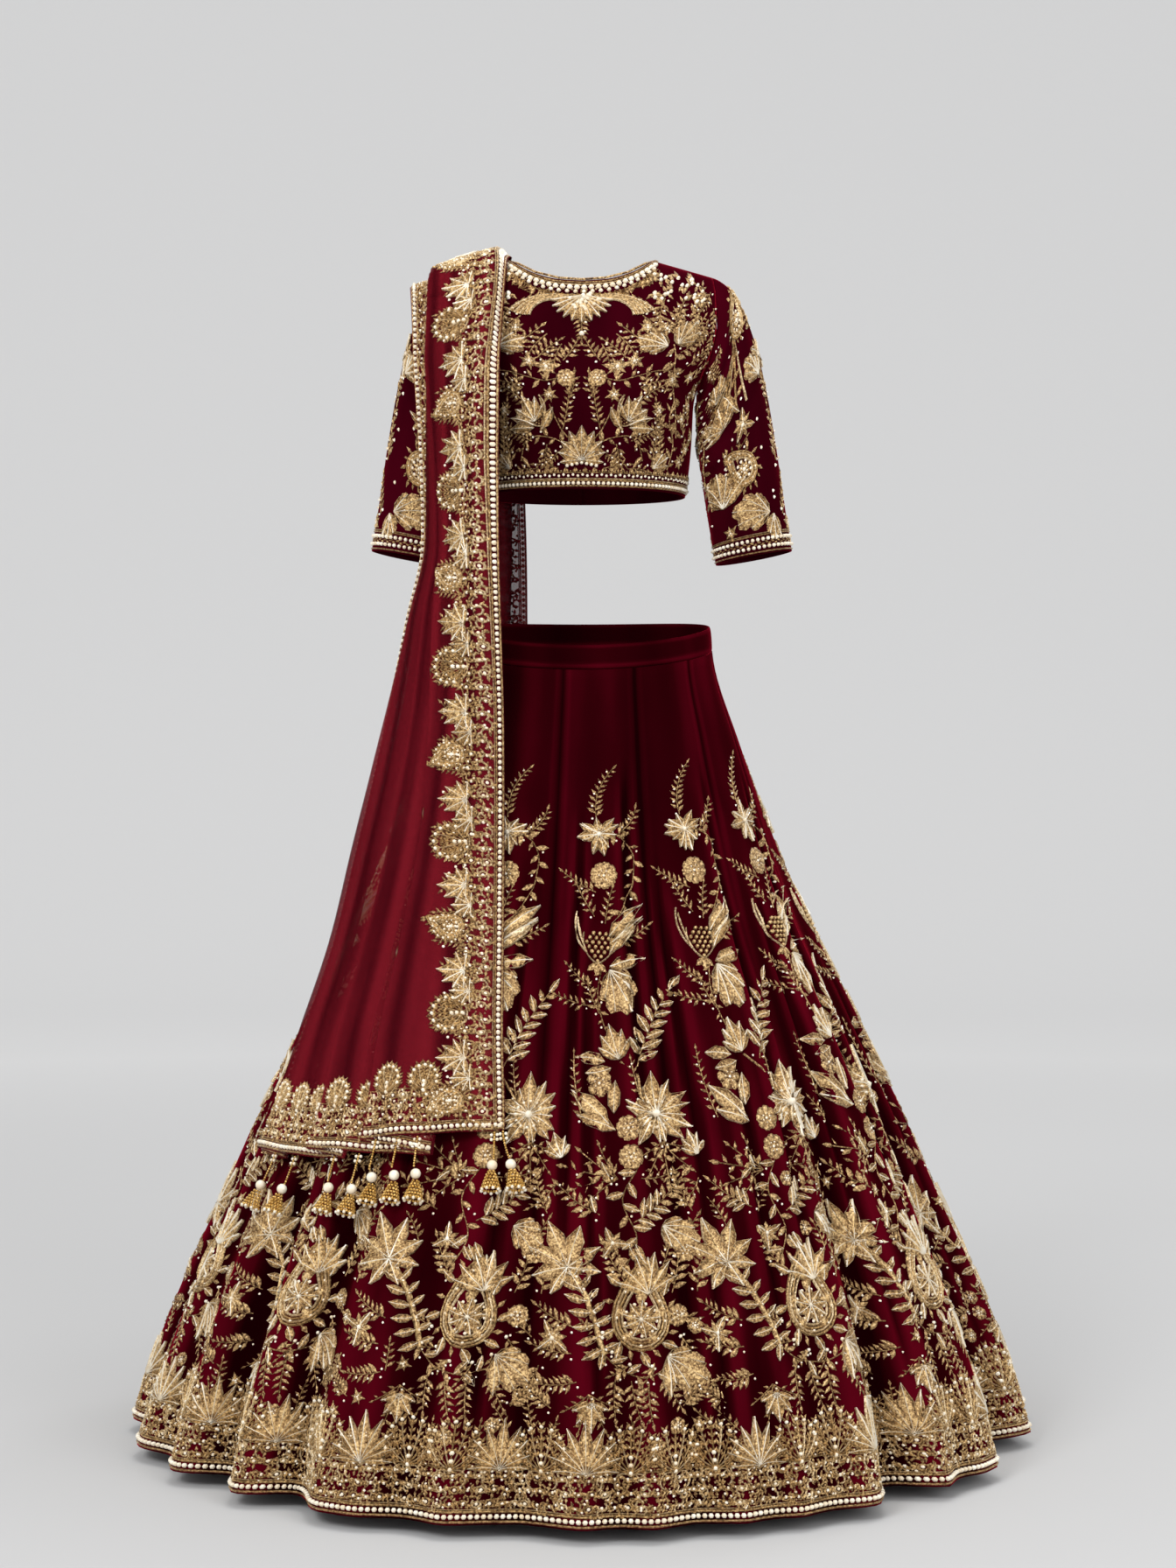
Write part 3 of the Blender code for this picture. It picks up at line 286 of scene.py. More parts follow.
def shoulderZ(x):
    x = np.abs(x)
    slope = neckPointZ - (x - neckPointX) * tan(shoulderSlope)
    neck = neckPointZ + (neckPointX - x) * neckRise
    return np.where(x < neckPointX, neck, slope)


def chestPoint(turn, z, side):
    # A point of the chest at an angle from the centre. Side is -1 on the front and 1 on the back.
    halfWidth = table(chestLevels, "z", "halfWidth", z)
    depth = table(chestLevels, "z", "frontDepth" if side < 0 else "backDepth", z)
    if side < 0:
        aside = (np.abs(turn) - bustTurn) / bustReachTurn
        above = (z - bustZ) / bustReachZ
        lobe = np.exp(-(aside**2) - above**2)
        depth = depth + bustLift * lobe
    x = halfWidth * np.sin(turn)
    height = np.clip((shoulderZ(x) - z) / shoulderRound, 0, 1)
    rounding = np.sqrt(1 - (1 - height) ** 2)
    middle = shoulderBack * smoothStep((z - armpitZ) / (neckPointZ - armpitZ - 0.03))
    y = middle + side * depth * np.cos(turn) * rounding
    return np.stack([x, y, z + 0 * x], axis=-1)


def turnAt(x, z):
    return np.arcsin(np.clip(x / table(chestLevels, "z", "halfWidth", z), -1, 1))


def sideEdge(along, side):
    # Side seam up to the armpit, then the armhole, as turn and height.
    seamZ = choliHemZ + (armpitZ - choliHemZ) * along / armhole[0].along
    holeZ = table(armhole, "along", "z", along)
    holeX = table(armhole, "along", "frontX" if side < 0 else "backX", along)
    onSeam = along < armhole[0].along
    z = np.where(onSeam, seamZ, holeZ)
    turn = np.where(onSeam, pi / 2, turnAt(holeX, holeZ))
    return turn, z


def topEdge(across, side):
    # Neckline, then the shoulder seam out to its tip, as turn and height.
    neckZ = frontNeckZ if side < 0 else backNeckZ
    neckEnd = neckline[-1].across
    lineX = table(neckline, "across", "x", across)
    lineZ = neckZ + (neckPointZ - neckZ) * table(neckline, "across", "lift", across)
    share = np.clip((across - neckEnd) / (1 - neckEnd), 0, 1)
    seamX = neckPointX + (shoulderTipX - neckPointX) * share
    onNeck = across < neckEnd
    x = np.where(onNeck, lineX, seamX)
    z = np.where(onNeck, lineZ, shoulderZ(seamX))
    return turnAt(x, z), z


def choliSurface(across, along, side):
    # Across goes from the centre (0) to the side edge (1), negative on the wearer's right.
    across, along = np.broadcast_arrays(np.asarray(across, float), np.asarray(along, float))
    mirror = np.where(across < 0, -1.0, 1.0)
    s = np.abs(across)
    centreZ = frontNeckZ if side < 0 else backNeckZ
    edgeTurn, edgeZ = sideEdge(along, side)
    topTurn, topZ = topEdge(s, side)
    tipTurn, tipZ = topEdge(np.ones(1), side)
    lowTurn = s * pi / 2
    middleZ = choliHemZ + (centreZ - choliHemZ) * along
    turn = (1 - along) * lowTurn + along * topTurn + s * edgeTurn
    turn = turn - s * (1 - along) * pi / 2 - s * along * tipTurn[0]
    z = (1 - along) * choliHemZ + along * topZ + (1 - s) * middleZ + s * edgeZ
    z = z - (1 - along) * choliHemZ - (1 - s) * along * centreZ - s * along * tipZ[0]
    point = chestPoint(turn, z, side)
    point[..., 0] *= mirror
    return point


def armholeFrame(around):
    # Point, outward normal and outward tangent of the body at the armhole.
    # Around goes from the shoulder tip (0) down the front to the armpit (0.5) and up the back (1).
    around = np.mod(np.asarray(around, float), 1.0)
    down = 1 - np.abs(1 - 2 * around)
    start = armhole[0].along
    along = 1 - (1 - start) * down
    step = 0.002
    point = np.zeros(around.shape + (3,))
    normal = np.zeros(around.shape + (3,))
    tangent = np.zeros(around.shape + (3,))
    for side, chosen in ((-1, around <= 0.5), (1, around > 0.5)):
        edge = choliSurface(1.0, along, side)
        inward = choliSurface(1.0 - step, along, side)
        above = choliSurface(1.0, np.minimum(along + step, 1), side)
        below = choliSurface(1.0, np.maximum(along - step, start + 1e-6), side)
        run = unit(above - below)
        across = unit(edge - inward)
        across = unit(across - np.sum(across * run, axis=-1, keepdims=True) * run)
        facing = np.cross(across, run) * (-side)
        point = np.where(chosen[..., None], edge, point)
        normal = np.where(chosen[..., None], facing, normal)
        tangent = np.where(chosen[..., None], across, tangent)
    slope = np.array([sin(shoulderSlope), 0, cos(shoulderSlope)])
    outward = np.array([cos(shoulderSlope), 0, -sin(shoulderSlope)])
    atTip = (1 - smoothStep(down / tipBlend))[..., None]
    atPit = smoothStep((down - 1 + armpitBlend) / armpitBlend)[..., None]
    normal = unit(normal * (1 - atTip) + slope * atTip)
    tangent = unit(tangent * (1 - atTip) + outward * atTip)
    normal = unit(normal * (1 - atPit) + np.array([1.0, 0, 0]) * atPit)
    tangent = unit(tangent * (1 - atPit) + np.array([0, 0, 1.0]) * atPit)
    return point, normal, tangent, down


def sleeveSurface(around, along):
    # The left sleeve, from the armhole (0) to the cuff (1), on one smooth rib for each place around.
    around, along = np.broadcast_arrays(np.asarray(around, float), np.asarray(along, float))
    point, normal, tangent, down = armholeFrame(around)
    fold = (pi * down)[..., None]
    aside = np.where(np.mod(around, 1.0) <= 0.5, -1.0, 1.0)
    angle = pi * down
    leave = tangent * np.cos(fold / 2) + normal * np.sin(fold / 2)
    start = point + sleeveStartsOut * unit(leave)
    direction = unit(tangent * np.cos(fold) + normal * np.sin(fold))
    pull = sleeveTopPull * (1 - smoothStep(down * 2)) + sleeveSidePull * smoothStep(down * 2)
    pull = pull + (sleeveUnderPull - sleeveSidePull) * smoothStep(down * 2 - 1)
    outward = np.array([cos(cuffTilt), 0, sin(cuffTilt)])
    axis = np.array([sin(cuffTilt), 0, -cos(cuffTilt)])
    cuff = np.array([cuffX, cuffY, cuffZ])
    ring = np.cos(angle)[..., None] * outward + (aside * np.sin(angle))[..., None] * np.array([0, 1.0, 0])
    end = cuff + cuffRadius * ring
    t = along[..., None]
    first = (1 + 2 * t) * (1 - t) ** 2 * start + t * (1 - t) ** 2 * pull[..., None] * direction
    second = t * t * (3 - 2 * t) * end - t * t * (1 - t) * sleeveCuffPull * axis
    return first + second


def drapeBase(share, stop):
    # The surface that the innermost layer lies on.
    stops = column(drapeStations, "stop")
    read = lambda name: smoothThrough(stops, column(drapeStations, name), stop)
    turn = np.radians(read("innerTurn") * (1 - share) + read("outerTurn") * share)
    reach = read("innerReach") * (1 - share) + read("outerReach") * share
    reach = reach + read("bow") * 4 * share * (1 - share)
    z = read("innerZ") * (1 - share) + read("outerZ") * share
    return np.stack([reach * np.sin(turn), -reach * np.cos(turn), z], axis=-1)


def drapeSheet(across, layer, push, stop):
    # Points of the pleated sheet's middle, where each layer stands on the one below it.
    stops = column(drapeStations, "stop")
    read = lambda name: smoothThrough(stops, column(drapeStations, name), stop)
    places = column(drapeFolds, "across")
    narrow = np.interp(across, places, column(drapeFolds, "shoulderShare"))
    wide = np.interp(across, places, column(drapeFolds, "hemShare"))
    spread = read("spread")
    share = narrow * (1 - spread) + wide * spread
    pitch = read("pitch")
    width = np.linalg.norm(drapeBase(0 * share + 1, stop) - drapeBase(0 * share, stop), axis=-1)
    share = share + push * pitch / 2 / width
    point = drapeBase(share, stop)
    dShare = drapeBase(share + shareStep, stop) - drapeBase(share - shareStep, stop)
    dStop = drapeBase(share, stop + shareStep) - drapeBase(share, stop - shareStep)
    out = unit(np.cross(dShare, dStop))
    raised = pitch * smoothStep(share / read("settle"))
    return point + out * (layer * raised)[..., None], share, out


def drapeStopAt(z, end):
    # The stop on the path where it passes a height, on the front or the back.
    way = 1 if end == "front" else -1
    half = [row for row in drapeStations if way * row.stop > hangStarts]
    half = sorted(half, key=lambda row: row.innerZ)
    return smoothThrough(column(half, "innerZ"), column(half, "stop"), z)


def tasselAxis(tassel, drop):
    # Middle of the tassel at a drop below the hem, with the directions across it.
    places = column(drapeFolds, "across")
    hemZ = np.interp(tassel.across, places, column(drapeFolds, tassel.end + "HemZ"))
    face = int(np.searchsorted(places, tassel.across, side="right")) - 1
    down = 1 if tassel.end == "front" else -1
    hemStop = drapeStopAt(hemZ, tassel.end)
    stops = column(drapeStations, "stop")
    atHem = lambda name: smoothThrough(stops, column(drapeStations, name), hemStop)
    share = np.interp(tassel.across, places, column(drapeFolds, "hemShare"))
    layerHeight = (layers - 1 - face) * atHem("pitch") * smoothStep(share / atHem("settle"))
    stopRun = drapeBase(share, hemStop + hemStep) - drapeBase(share, hemStop - hemStep)
    shareRun = drapeBase(share + hemStep, hemStop) - drapeBase(share - hemStep, hemStop)
    out = unit(np.cross(shareRun, stopRun))
    stop = hemStop + down * (drop + seamGap) * 2 * hemStep / np.linalg.norm(stopRun)
    lean = tassel.leanX * smoothStep(drop / tasselLength) * np.sign(shareRun[0])
    share = share + lean * 2 * hemStep / np.linalg.norm(shareRun)
    settled = smoothStep((drop - stringLength + 0.002) / (2 * pearlRadius))
    height = layerHeight + (cupRestHeight - layerHeight) * settled
    return drapeBase(share, stop) + out * height, unit(np.cross(stopRun, out)), out


# Materials

def newMaterial(name):
    material = bpy.data.materials.new(name)
    material.use_nodes = True
    tree = material.node_tree
    shader = tree.nodes["Principled BSDF"]
    return material, tree, shader


def setSockets(node, values):
    for name, value in values.items():
        node.inputs[name].default_value = value


def addNoise(tree, scale, detail=2.0, stretch=(1, 1, 1)):
    place = tree.nodes.new("ShaderNodeTexCoord")
    mapping = tree.nodes.new("ShaderNodeMapping")
    mapping.inputs["Scale"].default_value = stretch
    noise = tree.nodes.new("ShaderNodeTexNoise")
    setSockets(noise, {"Scale": scale, "Detail": detail})
    tree.links.new(place.outputs["Object"], mapping.inputs["Vector"])
    tree.links.new(mapping.outputs["Vector"], noise.inputs["Vector"])
    return noise.outputs["Fac"]


def addRamp(tree, source, stops):
    ramp = tree.nodes.new("ShaderNodeValToRGB")
    while len(ramp.color_ramp.elements) < len(stops):
        ramp.color_ramp.elements.new(0.5)
    for element, (place, colour) in zip(ramp.color_ramp.elements, stops):
        element.position = place
        element.color = (*colour, 1) if len(colour) == 3 else colour
    tree.links.new(source, ramp.inputs["Fac"])
    return ramp.outputs["Color"]


def addBump(tree, shader, source, strength, distance):
    bump = tree.nodes.new("ShaderNodeBump")
    setSockets(bump, {"Strength": strength, "Distance": distance})
    tree.links.new(source, bump.inputs["Height"])
    tree.links.new(bump.outputs["Normal"], shader.inputs["Normal"])


def addValue(tree, name):
    # A number that the mesh carries at its points.
    source = tree.nodes.new("ShaderNodeAttribute")
    source.attribute_name = name
    return source.outputs["Fac"]


def addMix(tree, first, second, share):
    mix = tree.nodes.new("ShaderNodeMix")
    mix.inputs[0].default_value = share
    tree.links.new(first, mix.inputs[2])
    tree.links.new(second, mix.inputs[3])
    return mix.outputs[0]


def velvetMaterial(name, look):
    # Painted shading: the colour is brighter on the ridges and darker in the valleys, a value that the mesh
    # carries at its points.
    material, tree, shader = newMaterial(name)
    streaks = addNoise(tree, look["streakScale"], 3, (1, 1, look["streakStretch"]))
    pile = addMix(tree, streaks, addValue(tree, "pile"), look["paintedShadingShare"])
    colour = addRamp(tree, pile, [(0.26, look["deep"]), (0.5, look["mid"]), (0.8, look["lit"])])
    tree.links.new(colour, shader.inputs["Base Color"])
    setSockets(shader, {"Roughness": look["roughness"], "Specular IOR Level": 0.0,
                        "Sheen Weight": look["sheen"], "Sheen Roughness": look["sheenRoughness"],
                        "Sheen Tint": (*look["sheenTint"], 1)})
    addBump(tree, shader, addNoise(tree, look["napScale"], 2), 0.35, 0.0006)
    return material


def netMaterial(name, look):
    material, tree, shader = newMaterial(name)
    # Random cloudiness mixed with painted shade and highlight along the dupatta's ripples, which the mesh
    # carries as the pleat value.
    cloudAndPleatShade = addMix(tree, addNoise(tree, 14, 3, (1, 1, 0.12)), addValue(tree, "pleat"), look["pleatShadeShare"])
    colour = addRamp(tree, cloudAndPleatShade, [(0.25, look["deep"]), (0.75, look["lit"])])
    tree.links.new(colour, shader.inputs["Base Color"])
    mesh = addNoise(tree, look["meshScale"], 1)
    cover = addRamp(tree, mesh, [(0.35, (look["thin"],) * 3), (0.65, (look["thick"],) * 3)])
    tree.links.new(cover, shader.inputs["Alpha"])
    setSockets(shader, {"Roughness": 0.7, "Specular IOR Level": 0.0, "Sheen Weight": look["sheen"],
                        "Sheen Tint": (*look["lit"], 1)})
    addBump(tree, shader, mesh, 0.12, 0.0002)
    return material


def threadMaterial(name, look):
    material, tree, shader = newMaterial(name)
    # Painted shade: the colour darkens towards the cloth, where the stitches lie low, mixed with random tone.
    tone = addMix(tree, addNoise(tree, look["toneScale"], 3), addValue(tree, "height"), look["heightShare"])
    colour = addRamp(tree, tone, [(0.35, look["deep"]), (0.49, look["mid"]), (0.63, look["lit"])])
    tree.links.new(colour, shader.inputs["Base Color"])
    setSockets(shader, {"Metallic": look["metallic"], "Roughness": look["roughness"]})
    addBump(tree, shader, addNoise(tree, look["threadScale"], 2), 0.9, 0.0011)
    return material


def pearlMaterial(name, look):
    material, tree, shader = newMaterial(name)
    tone = addNoise(tree, 90, 1)
    colour = addRamp(tree, tone, [(0.3, look["deep"]), (0.7, look["lit"])])
    tree.links.new(colour, shader.inputs["Base Color"])
    setSockets(shader, {"Roughness": look["roughness"], "Coat Weight": 0.5, "Coat Roughness": 0.15})
    return material


skirtVelvetLook = {
    "deep": (0.007, 0.0001, 0.0006),
    "mid": (0.023, 0.0003, 0.0018),
    "lit": (0.082, 0.0012, 0.0062),
    "paintedShadingShare": 0.55,
    "streakScale": 9.0,
    "streakStretch": 0.12,
    "roughness": 0.62,
    "sheen": 0.8,
    "sheenRoughness": 0.26,
    "sheenTint": (0.62, 0.018, 0.045),
    "napScale": 900.0,
}
choliVelvetLook = dict(skirtVelvetLook, deep=(0.01, 0.0001, 0.0014), mid=(0.026, 0.0004, 0.003),
                       lit=(0.085, 0.0014, 0.0085))
netLook = {
    "deep": (0.066, 0.003, 0.0065),
    "lit": (0.185, 0.009, 0.0165),
    "pleatShadeShare": 0.55,
    "meshScale": 1900.0,
    "thin": 0.4,
    "thick": 0.72,
    "sheen": 0.2,
}
goldLook = {
    "deep": (0.06, 0.024, 0.008),
    "mid": (0.34, 0.2, 0.08),
    "lit": (0.8, 0.57, 0.27),
    "toneScale": 400.0,
    "threadScale": 900.0,
    "heightShare": 0.23,
    "metallic": 0.62,
    "roughness": 0.34,
}
paleGoldLook = dict(goldLook, deep=(0.19, 0.115, 0.048), mid=(0.56, 0.4, 0.21), lit=(0.95, 0.79, 0.52))
deepGoldLook = dict(goldLook, deep=(0.06, 0.026, 0.01), mid=(0.2, 0.11, 0.046), lit=(0.42, 0.27, 0.13))
beadGoldLook = dict(goldLook, deep=(0.42, 0.22, 0.04), mid=(0.72, 0.43, 0.11), lit=(0.95, 0.66, 0.24),
                    metallic=0.8, roughness=0.28, heightShare=0.0)
pearlLook = {"deep": (0.8, 0.66, 0.46), "lit": (0.98, 0.92, 0.78), "roughness": 0.2}

skirtVelvet = velvetMaterial("skirtVelvet", skirtVelvetLook)
choliVelvet = velvetMaterial("choliVelvet", choliVelvetLook)
redNet = netMaterial("redNet", netLook)
goldThread = threadMaterial("goldThread", goldLook)
paleThread = threadMaterial("paleThread", paleGoldLook)
beadGold = threadMaterial("beadGold", beadGoldLook)
deepThread = threadMaterial("deepThread", deepGoldLook)
pearl = pearlMaterial("pearl", pearlLook)
finishOf = {"gold": goldThread, "pale": paleThread, "pearl": pearl, "bead": beadGold, "deep": deepThread}
print("materials made")


# Mesh helpers

def newPiece(name, points, faces, material, smooth=True):
    points = np.asarray(points, np.float32).reshape(-1, 3)
    faces = np.asarray(faces, np.int32)
    sides = faces.shape[1]
    mesh = bpy.data.meshes.new(name)
    mesh.vertices.add(len(points))
    mesh.vertices.foreach_set("co", points.ravel())
    mesh.loops.add(faces.size)
    mesh.loops.foreach_set("vertex_index", faces.ravel())
    mesh.polygons.add(len(faces))
    mesh.polygons.foreach_set("loop_start", np.arange(0, faces.size, sides, dtype=np.int32))
    mesh.polygons.foreach_set("use_smooth", np.full(len(faces), smooth))
    mesh.update(calc_edges=True)
    mesh.materials.append(material)
    piece = bpy.data.objects.new(name, mesh)
    bpy.context.scene.collection.objects.link(piece)
    return piece


def setValues(piece, name, values):
    layer = piece.data.attributes.new(name, "FLOAT", "POINT")
    layer.data.foreach_set("value", np.asarray(values, np.float32).ravel())


def gridFaces(rows, columns, start=0, ring=False, flip=False):
    spans = columns if ring else columns - 1
    row, col = np.meshgrid(np.arange(rows - 1), np.arange(spans), indexing="ij")
    row, col = row.ravel(), col.ravel()
    after = (col + 1) % columns
    quads = np.stack([row * columns + col, row * columns + after,
                      (row + 1) * columns + after, (row + 1) * columns + col], axis=1) + start
    return quads[:, ::-1] if flip else quads


def shellPiece(name, outer, inner, material, ring=False):
    # A closed thin wall between two grids of points.
    rows, columns = outer.shape[:2]
    count = rows * columns
    faces = [gridFaces(rows, columns, 0, ring), gridFaces(rows, columns, count, ring, True)]
    spans = columns if ring else columns - 1
    col = np.arange(spans)
    after = (col + 1) % columns
    last = (rows - 1) * columns
    faces.append(np.stack([after, col, col + count, after + count], axis=1))
    faces.append(np.stack([last + col, last + after, last + after + count, last + col + count], axis=1))
    if not ring:
        row = np.arange(rows - 1) * columns
        end = row + columns - 1
        faces.append(np.stack([row, row + columns, row + columns + count, row + count], axis=1))
        faces.append(np.stack([end + columns, end, end + count, end + columns + count], axis=1))
    faces = np.concatenate(faces)
    points = np.concatenate([outer.reshape(-1, 3), inner.reshape(-1, 3)])
    a, b, c, d = (points[faces[:, k]] for k in range(4))
    volume = np.einsum("ij,ij->", a, np.cross(b, c)) + np.einsum("ij,ij->", a, np.cross(c, d))
    if volume < 0:
        faces = faces[:, ::-1]
    return newPiece(name, points, faces, material)


def surfaceNormal(surface, across, along, step, low=(-np.inf, -np.inf), high=(np.inf, np.inf)):
    right = np.minimum(across + step[0], high[0])
    left = np.maximum(across - step[0], low[0])
    over = np.minimum(along + step[1], high[1])
    under = np.maximum(along - step[1], low[1])
    return unit(np.cross(surface(right, along) - surface(left, along),
                         surface(across, over) - surface(across, under)))


# Embroidery kit: every motif is laid out flat, in metres, with y running down the cloth.
# An angle of 0 points up the cloth and turns clockwise.

def newWork():
    return defaultdict(list)


outlineFrom = 0.0185
leafletTo = 0.0145
pearlGrowth = 1.16
roundFrom = 0.0023


def outlined(work, x, y, turn, length, wide, bend, lift):
    # A pale vein and edge threads, with tiny beads beside the vein, on every larger leaf.
    t = np.array([0.02, 0.28, 0.64, 1.0])
    swell = np.array([0.0, 0.4, 0.44, 0.0])
    for side in (-1, 0, 1):
        away, aside = t * length, side * swell * wide + bend * length * t**2
        line = np.stack([x + away * np.sin(turn) + aside * np.cos(turn),
                         y - away * np.cos(turn) + aside * np.sin(turn)], axis=1)
        if side:
            strand(work, line, 0.0013, lift * 0.9 + 0.0004, "pale")
        else:
            strand(work, line, 0.001, lift * 1.35 + 0.0004, "pearl")
    for k in range(1, int(length / 0.0085)):
        share = k * 0.0085 / length
        for side in (-1, 1):
            aside = side * wide * 0.2 * sin(pi * min(1, share + 0.1)) + bend * length * share**2
            px = x + share * length * sin(turn) + aside * cos(turn)
            py = y - share * length * cos(turn) + aside * sin(turn)
            work["deep", "smallBead"].append((px, py, 0.0, 0.0011, 0.0011, 0.0, 0.0016))


def leaf(work, x, y, turn, length, width=0.4, bend=0.0, lift=0.0016, finish="gold", form=None):
    form = form or ("leaf" if length > leafletTo else "leaflet")
    work[finish, form].append((x, y, turn, length, length * width, bend, lift))
    if length > outlineFrom:
        outlined(work, x, y, turn, length, length * width, bend, lift)


def petal(work, x, y, turn, length, width=0.7, bend=0.0, lift=0.0018):
    leaf(work, x, y, turn, length, width, bend, lift, form="petal")


def bead(work, x, y, radius=0.0016, finish="pearl"):
    radius = radius * (pearlGrowth if finish == "pearl" else 1)
    form = "bead" if radius > roundFrom else "dome"
    work[finish, form].append((x, y, 0.0, radius, radius, 0.0, radius))


def smallBead(work, x, y, radius=0.0012, finish="pale"):
    work[finish, "smallBead"].append((x, y, 0.0, radius, radius, 0.0, radius))


def strand(work, points, width=0.0014, lift=0.0011, finish="gold"):
    work[finish, "strand"].append((np.asarray(points, float), width, lift))


def heading(turn):
    return np.array([sin(turn), -cos(turn)])


def curvePoints(x, y, turn, length, curl, count=8):
    # A stem that starts at a place and heading, and curls by an angle along its length.
    points = [np.array([x, y], float)]
    for step in range(count):
        points.append(points[-1] + heading(turn + curl * (step + 0.5) / count) * length / count)
    return np.array(points)


def sprig(work, x, y, turn, length, curl=0.0, pairs=5, leafLength=None, finish="gold", pearls=True):
    points = curvePoints(x, y, turn, length, curl, 2 * pairs)
    strand(work, points[::2], 0.0015, 0.001, finish)
    leafLength = leafLength or length * 0.26
    for step in range(1, 2 * pairs):
        along = turn + curl * step / (2 * pairs)
        side = 1 if step % 2 else -1
        size = leafLength * (1.0 - 0.45 * step / (2 * pairs)) * rng.uniform(0.9, 1.1)
        leaf(work, *points[step], along + side * radians(44), size, 0.42, 0.12 * side, finish=finish)
        if pearls and step % 4 == 1:
            tip = points[step] - heading(along + side * radians(62)) * size * 0.42
            bead(work, *tip, 0.0013)
    leaf(work, *points[-1], turn + curl, leafLength * 0.72, 0.42, finish=finish)


def starFlower(work, x, y, radius, points=8, pearls=5):
    start = rng.uniform(0, pi)
    for k in range(points):
        turn = start + 2 * pi * k / points
        size = radius * (1.0 if k % 2 else 0.8)
        leaf(work, x, y, turn, size, 0.4, 0.05, 0.0022)
    for k in range(points):
        turn = start + 2 * pi * (k + 0.5) / points
        leaf(work, x, y, turn, radius * 0.55, 0.36, 0, 0.0026, "pale")
    bead(work, x, y, radius * 0.09 + 0.0008)
    for k in range(pearls):
        spot = heading(start + 2 * pi * k / pearls) * radius * 0.24
        bead(work, x + spot[0], y + spot[1], 0.0014)


def rosette(work, x, y, radius, petals=8):
    start = rng.uniform(0, pi)
    for k in range(petals):
        turn = start + 2 * pi * k / petals
        petal(work, x, y, turn, radius, 0.72, 0, 0.002)
        spot = heading(turn + pi / petals) * radius * 0.86
        smallBead(work, x + spot[0], y + spot[1], 0.0011)
    for k in range(6):
        spot = heading(start + 2 * pi * k / 6) * radius * 0.36
        bead(work, x + spot[0], y + spot[1], 0.0013)
    bead(work, x, y, 0.0017)


def bud(work, x, y, turn, size, side=1):
    # A pomegranate bud: a netted basket between a full petal and an outlined one.
    foot = np.array([x, y])
    for row in range(7):
        half = (2, 3, 4, 4, 3, 2, 1)[row]
        for col in range(-half, half + 1):
            if (col + row) % 2:
                continue
            aside = heading(turn + pi / 2) * col * size * 0.082
            spot = foot - heading(turn) * (row - 2.6) * size * 0.118 + aside
            bead(work, *spot, size * 0.058, "gold")
            if (row + col // 2) % 2 == 0:
                bead(work, *spot, size * 0.04)
    for way in (-1, 1):
        low = foot - heading(turn) * size * 0.46
        rim = curvePoints(*low, turn + way * radians(66), size * 0.95, -way * radians(74), 8)
        strand(work, rim, 0.0022, 0.0022, "pale")
        horn = foot - heading(turn) * size * 0.2 + heading(turn + pi / 2) * way * size * 0.3
        if way == side:
            leaf(work, *horn, turn + way * radians(22), size * 1.25, 0.36, way * 0.3, 0.0034)
        for lean, reach, arc in ((52, 1.15, -64), (30, 0.95, -20)):
            edge = curvePoints(*horn, turn + way * radians(lean), size * reach, way * radians(arc), 8)
            strand(work, edge, 0.0026, 0.0024, "pale")
            for k in range(1, 8, 2):
                smallBead(work, *edge[k], 0.0013, "gold")
    base = foot - heading(turn) * size * 0.44
    for way in (-1, 0, 1):
        leaf(work, *base, turn + pi + way * radians(50), size * 0.34, 0.5, 0, 0.002)


def lotus(work, x, y, turn, size, petals=7, spread=radians(150)):
    for k in range(petals):
        share = k / (petals - 1) - 0.5
        length = size * (1.0 - 0.35 * abs(share) * 2)
        leaf(work, x, y, turn + share * spread, length, 0.42, share * 0.25, 0.0026)
        rib = curvePoints(x, y, turn + share * spread, length * 0.8, share * 0.35, 4)
        strand(work, rib, 0.0009, 0.0032, "pale")
        if size > 0.03:
            bead(work, *rib[4], 0.0016)
            bead(work, *rib[2], 0.0013)
    for k in range(4):
        spot = np.array([x, y]) + heading(turn + radians(-45 + 30 * k)) * size * 0.16
        bead(work, *spot, 0.0014)


def lobedLeaf(work, x, y, turn, size, side=1):
    for share, length in ((-0.9, 0.55), (-0.45, 0.8), (0.0, 1.0), (0.45, 0.88), (0.85, 0.6)):
        petal(work, x, y, turn + side * share * radians(46), size * length, 0.46, side * 0.1, 0.0024)
        rib = curvePoints(x, y, turn + side * share * radians(46), size * length * 0.85, 0.1 * side, 4)
        strand(work, rib, 0.0008, 0.003, "pale")
    for k in range(3):
        spot = np.array([x, y]) + heading(turn + radians(-30 + 30 * k)) * size * 0.3
        bead(work, *spot, 0.0012)


def spray(work, x, y, turn, size, count=5, spread=radians(120)):
    for k in range(count):
        share = k / (count - 1) - 0.5
        length = size * (1 - 0.3 * abs(share) * 2)
        sprig(work, x, y, turn + share * spread, length, share * 0.6, 3, length * 0.34, pearls=k % 2 == 0)


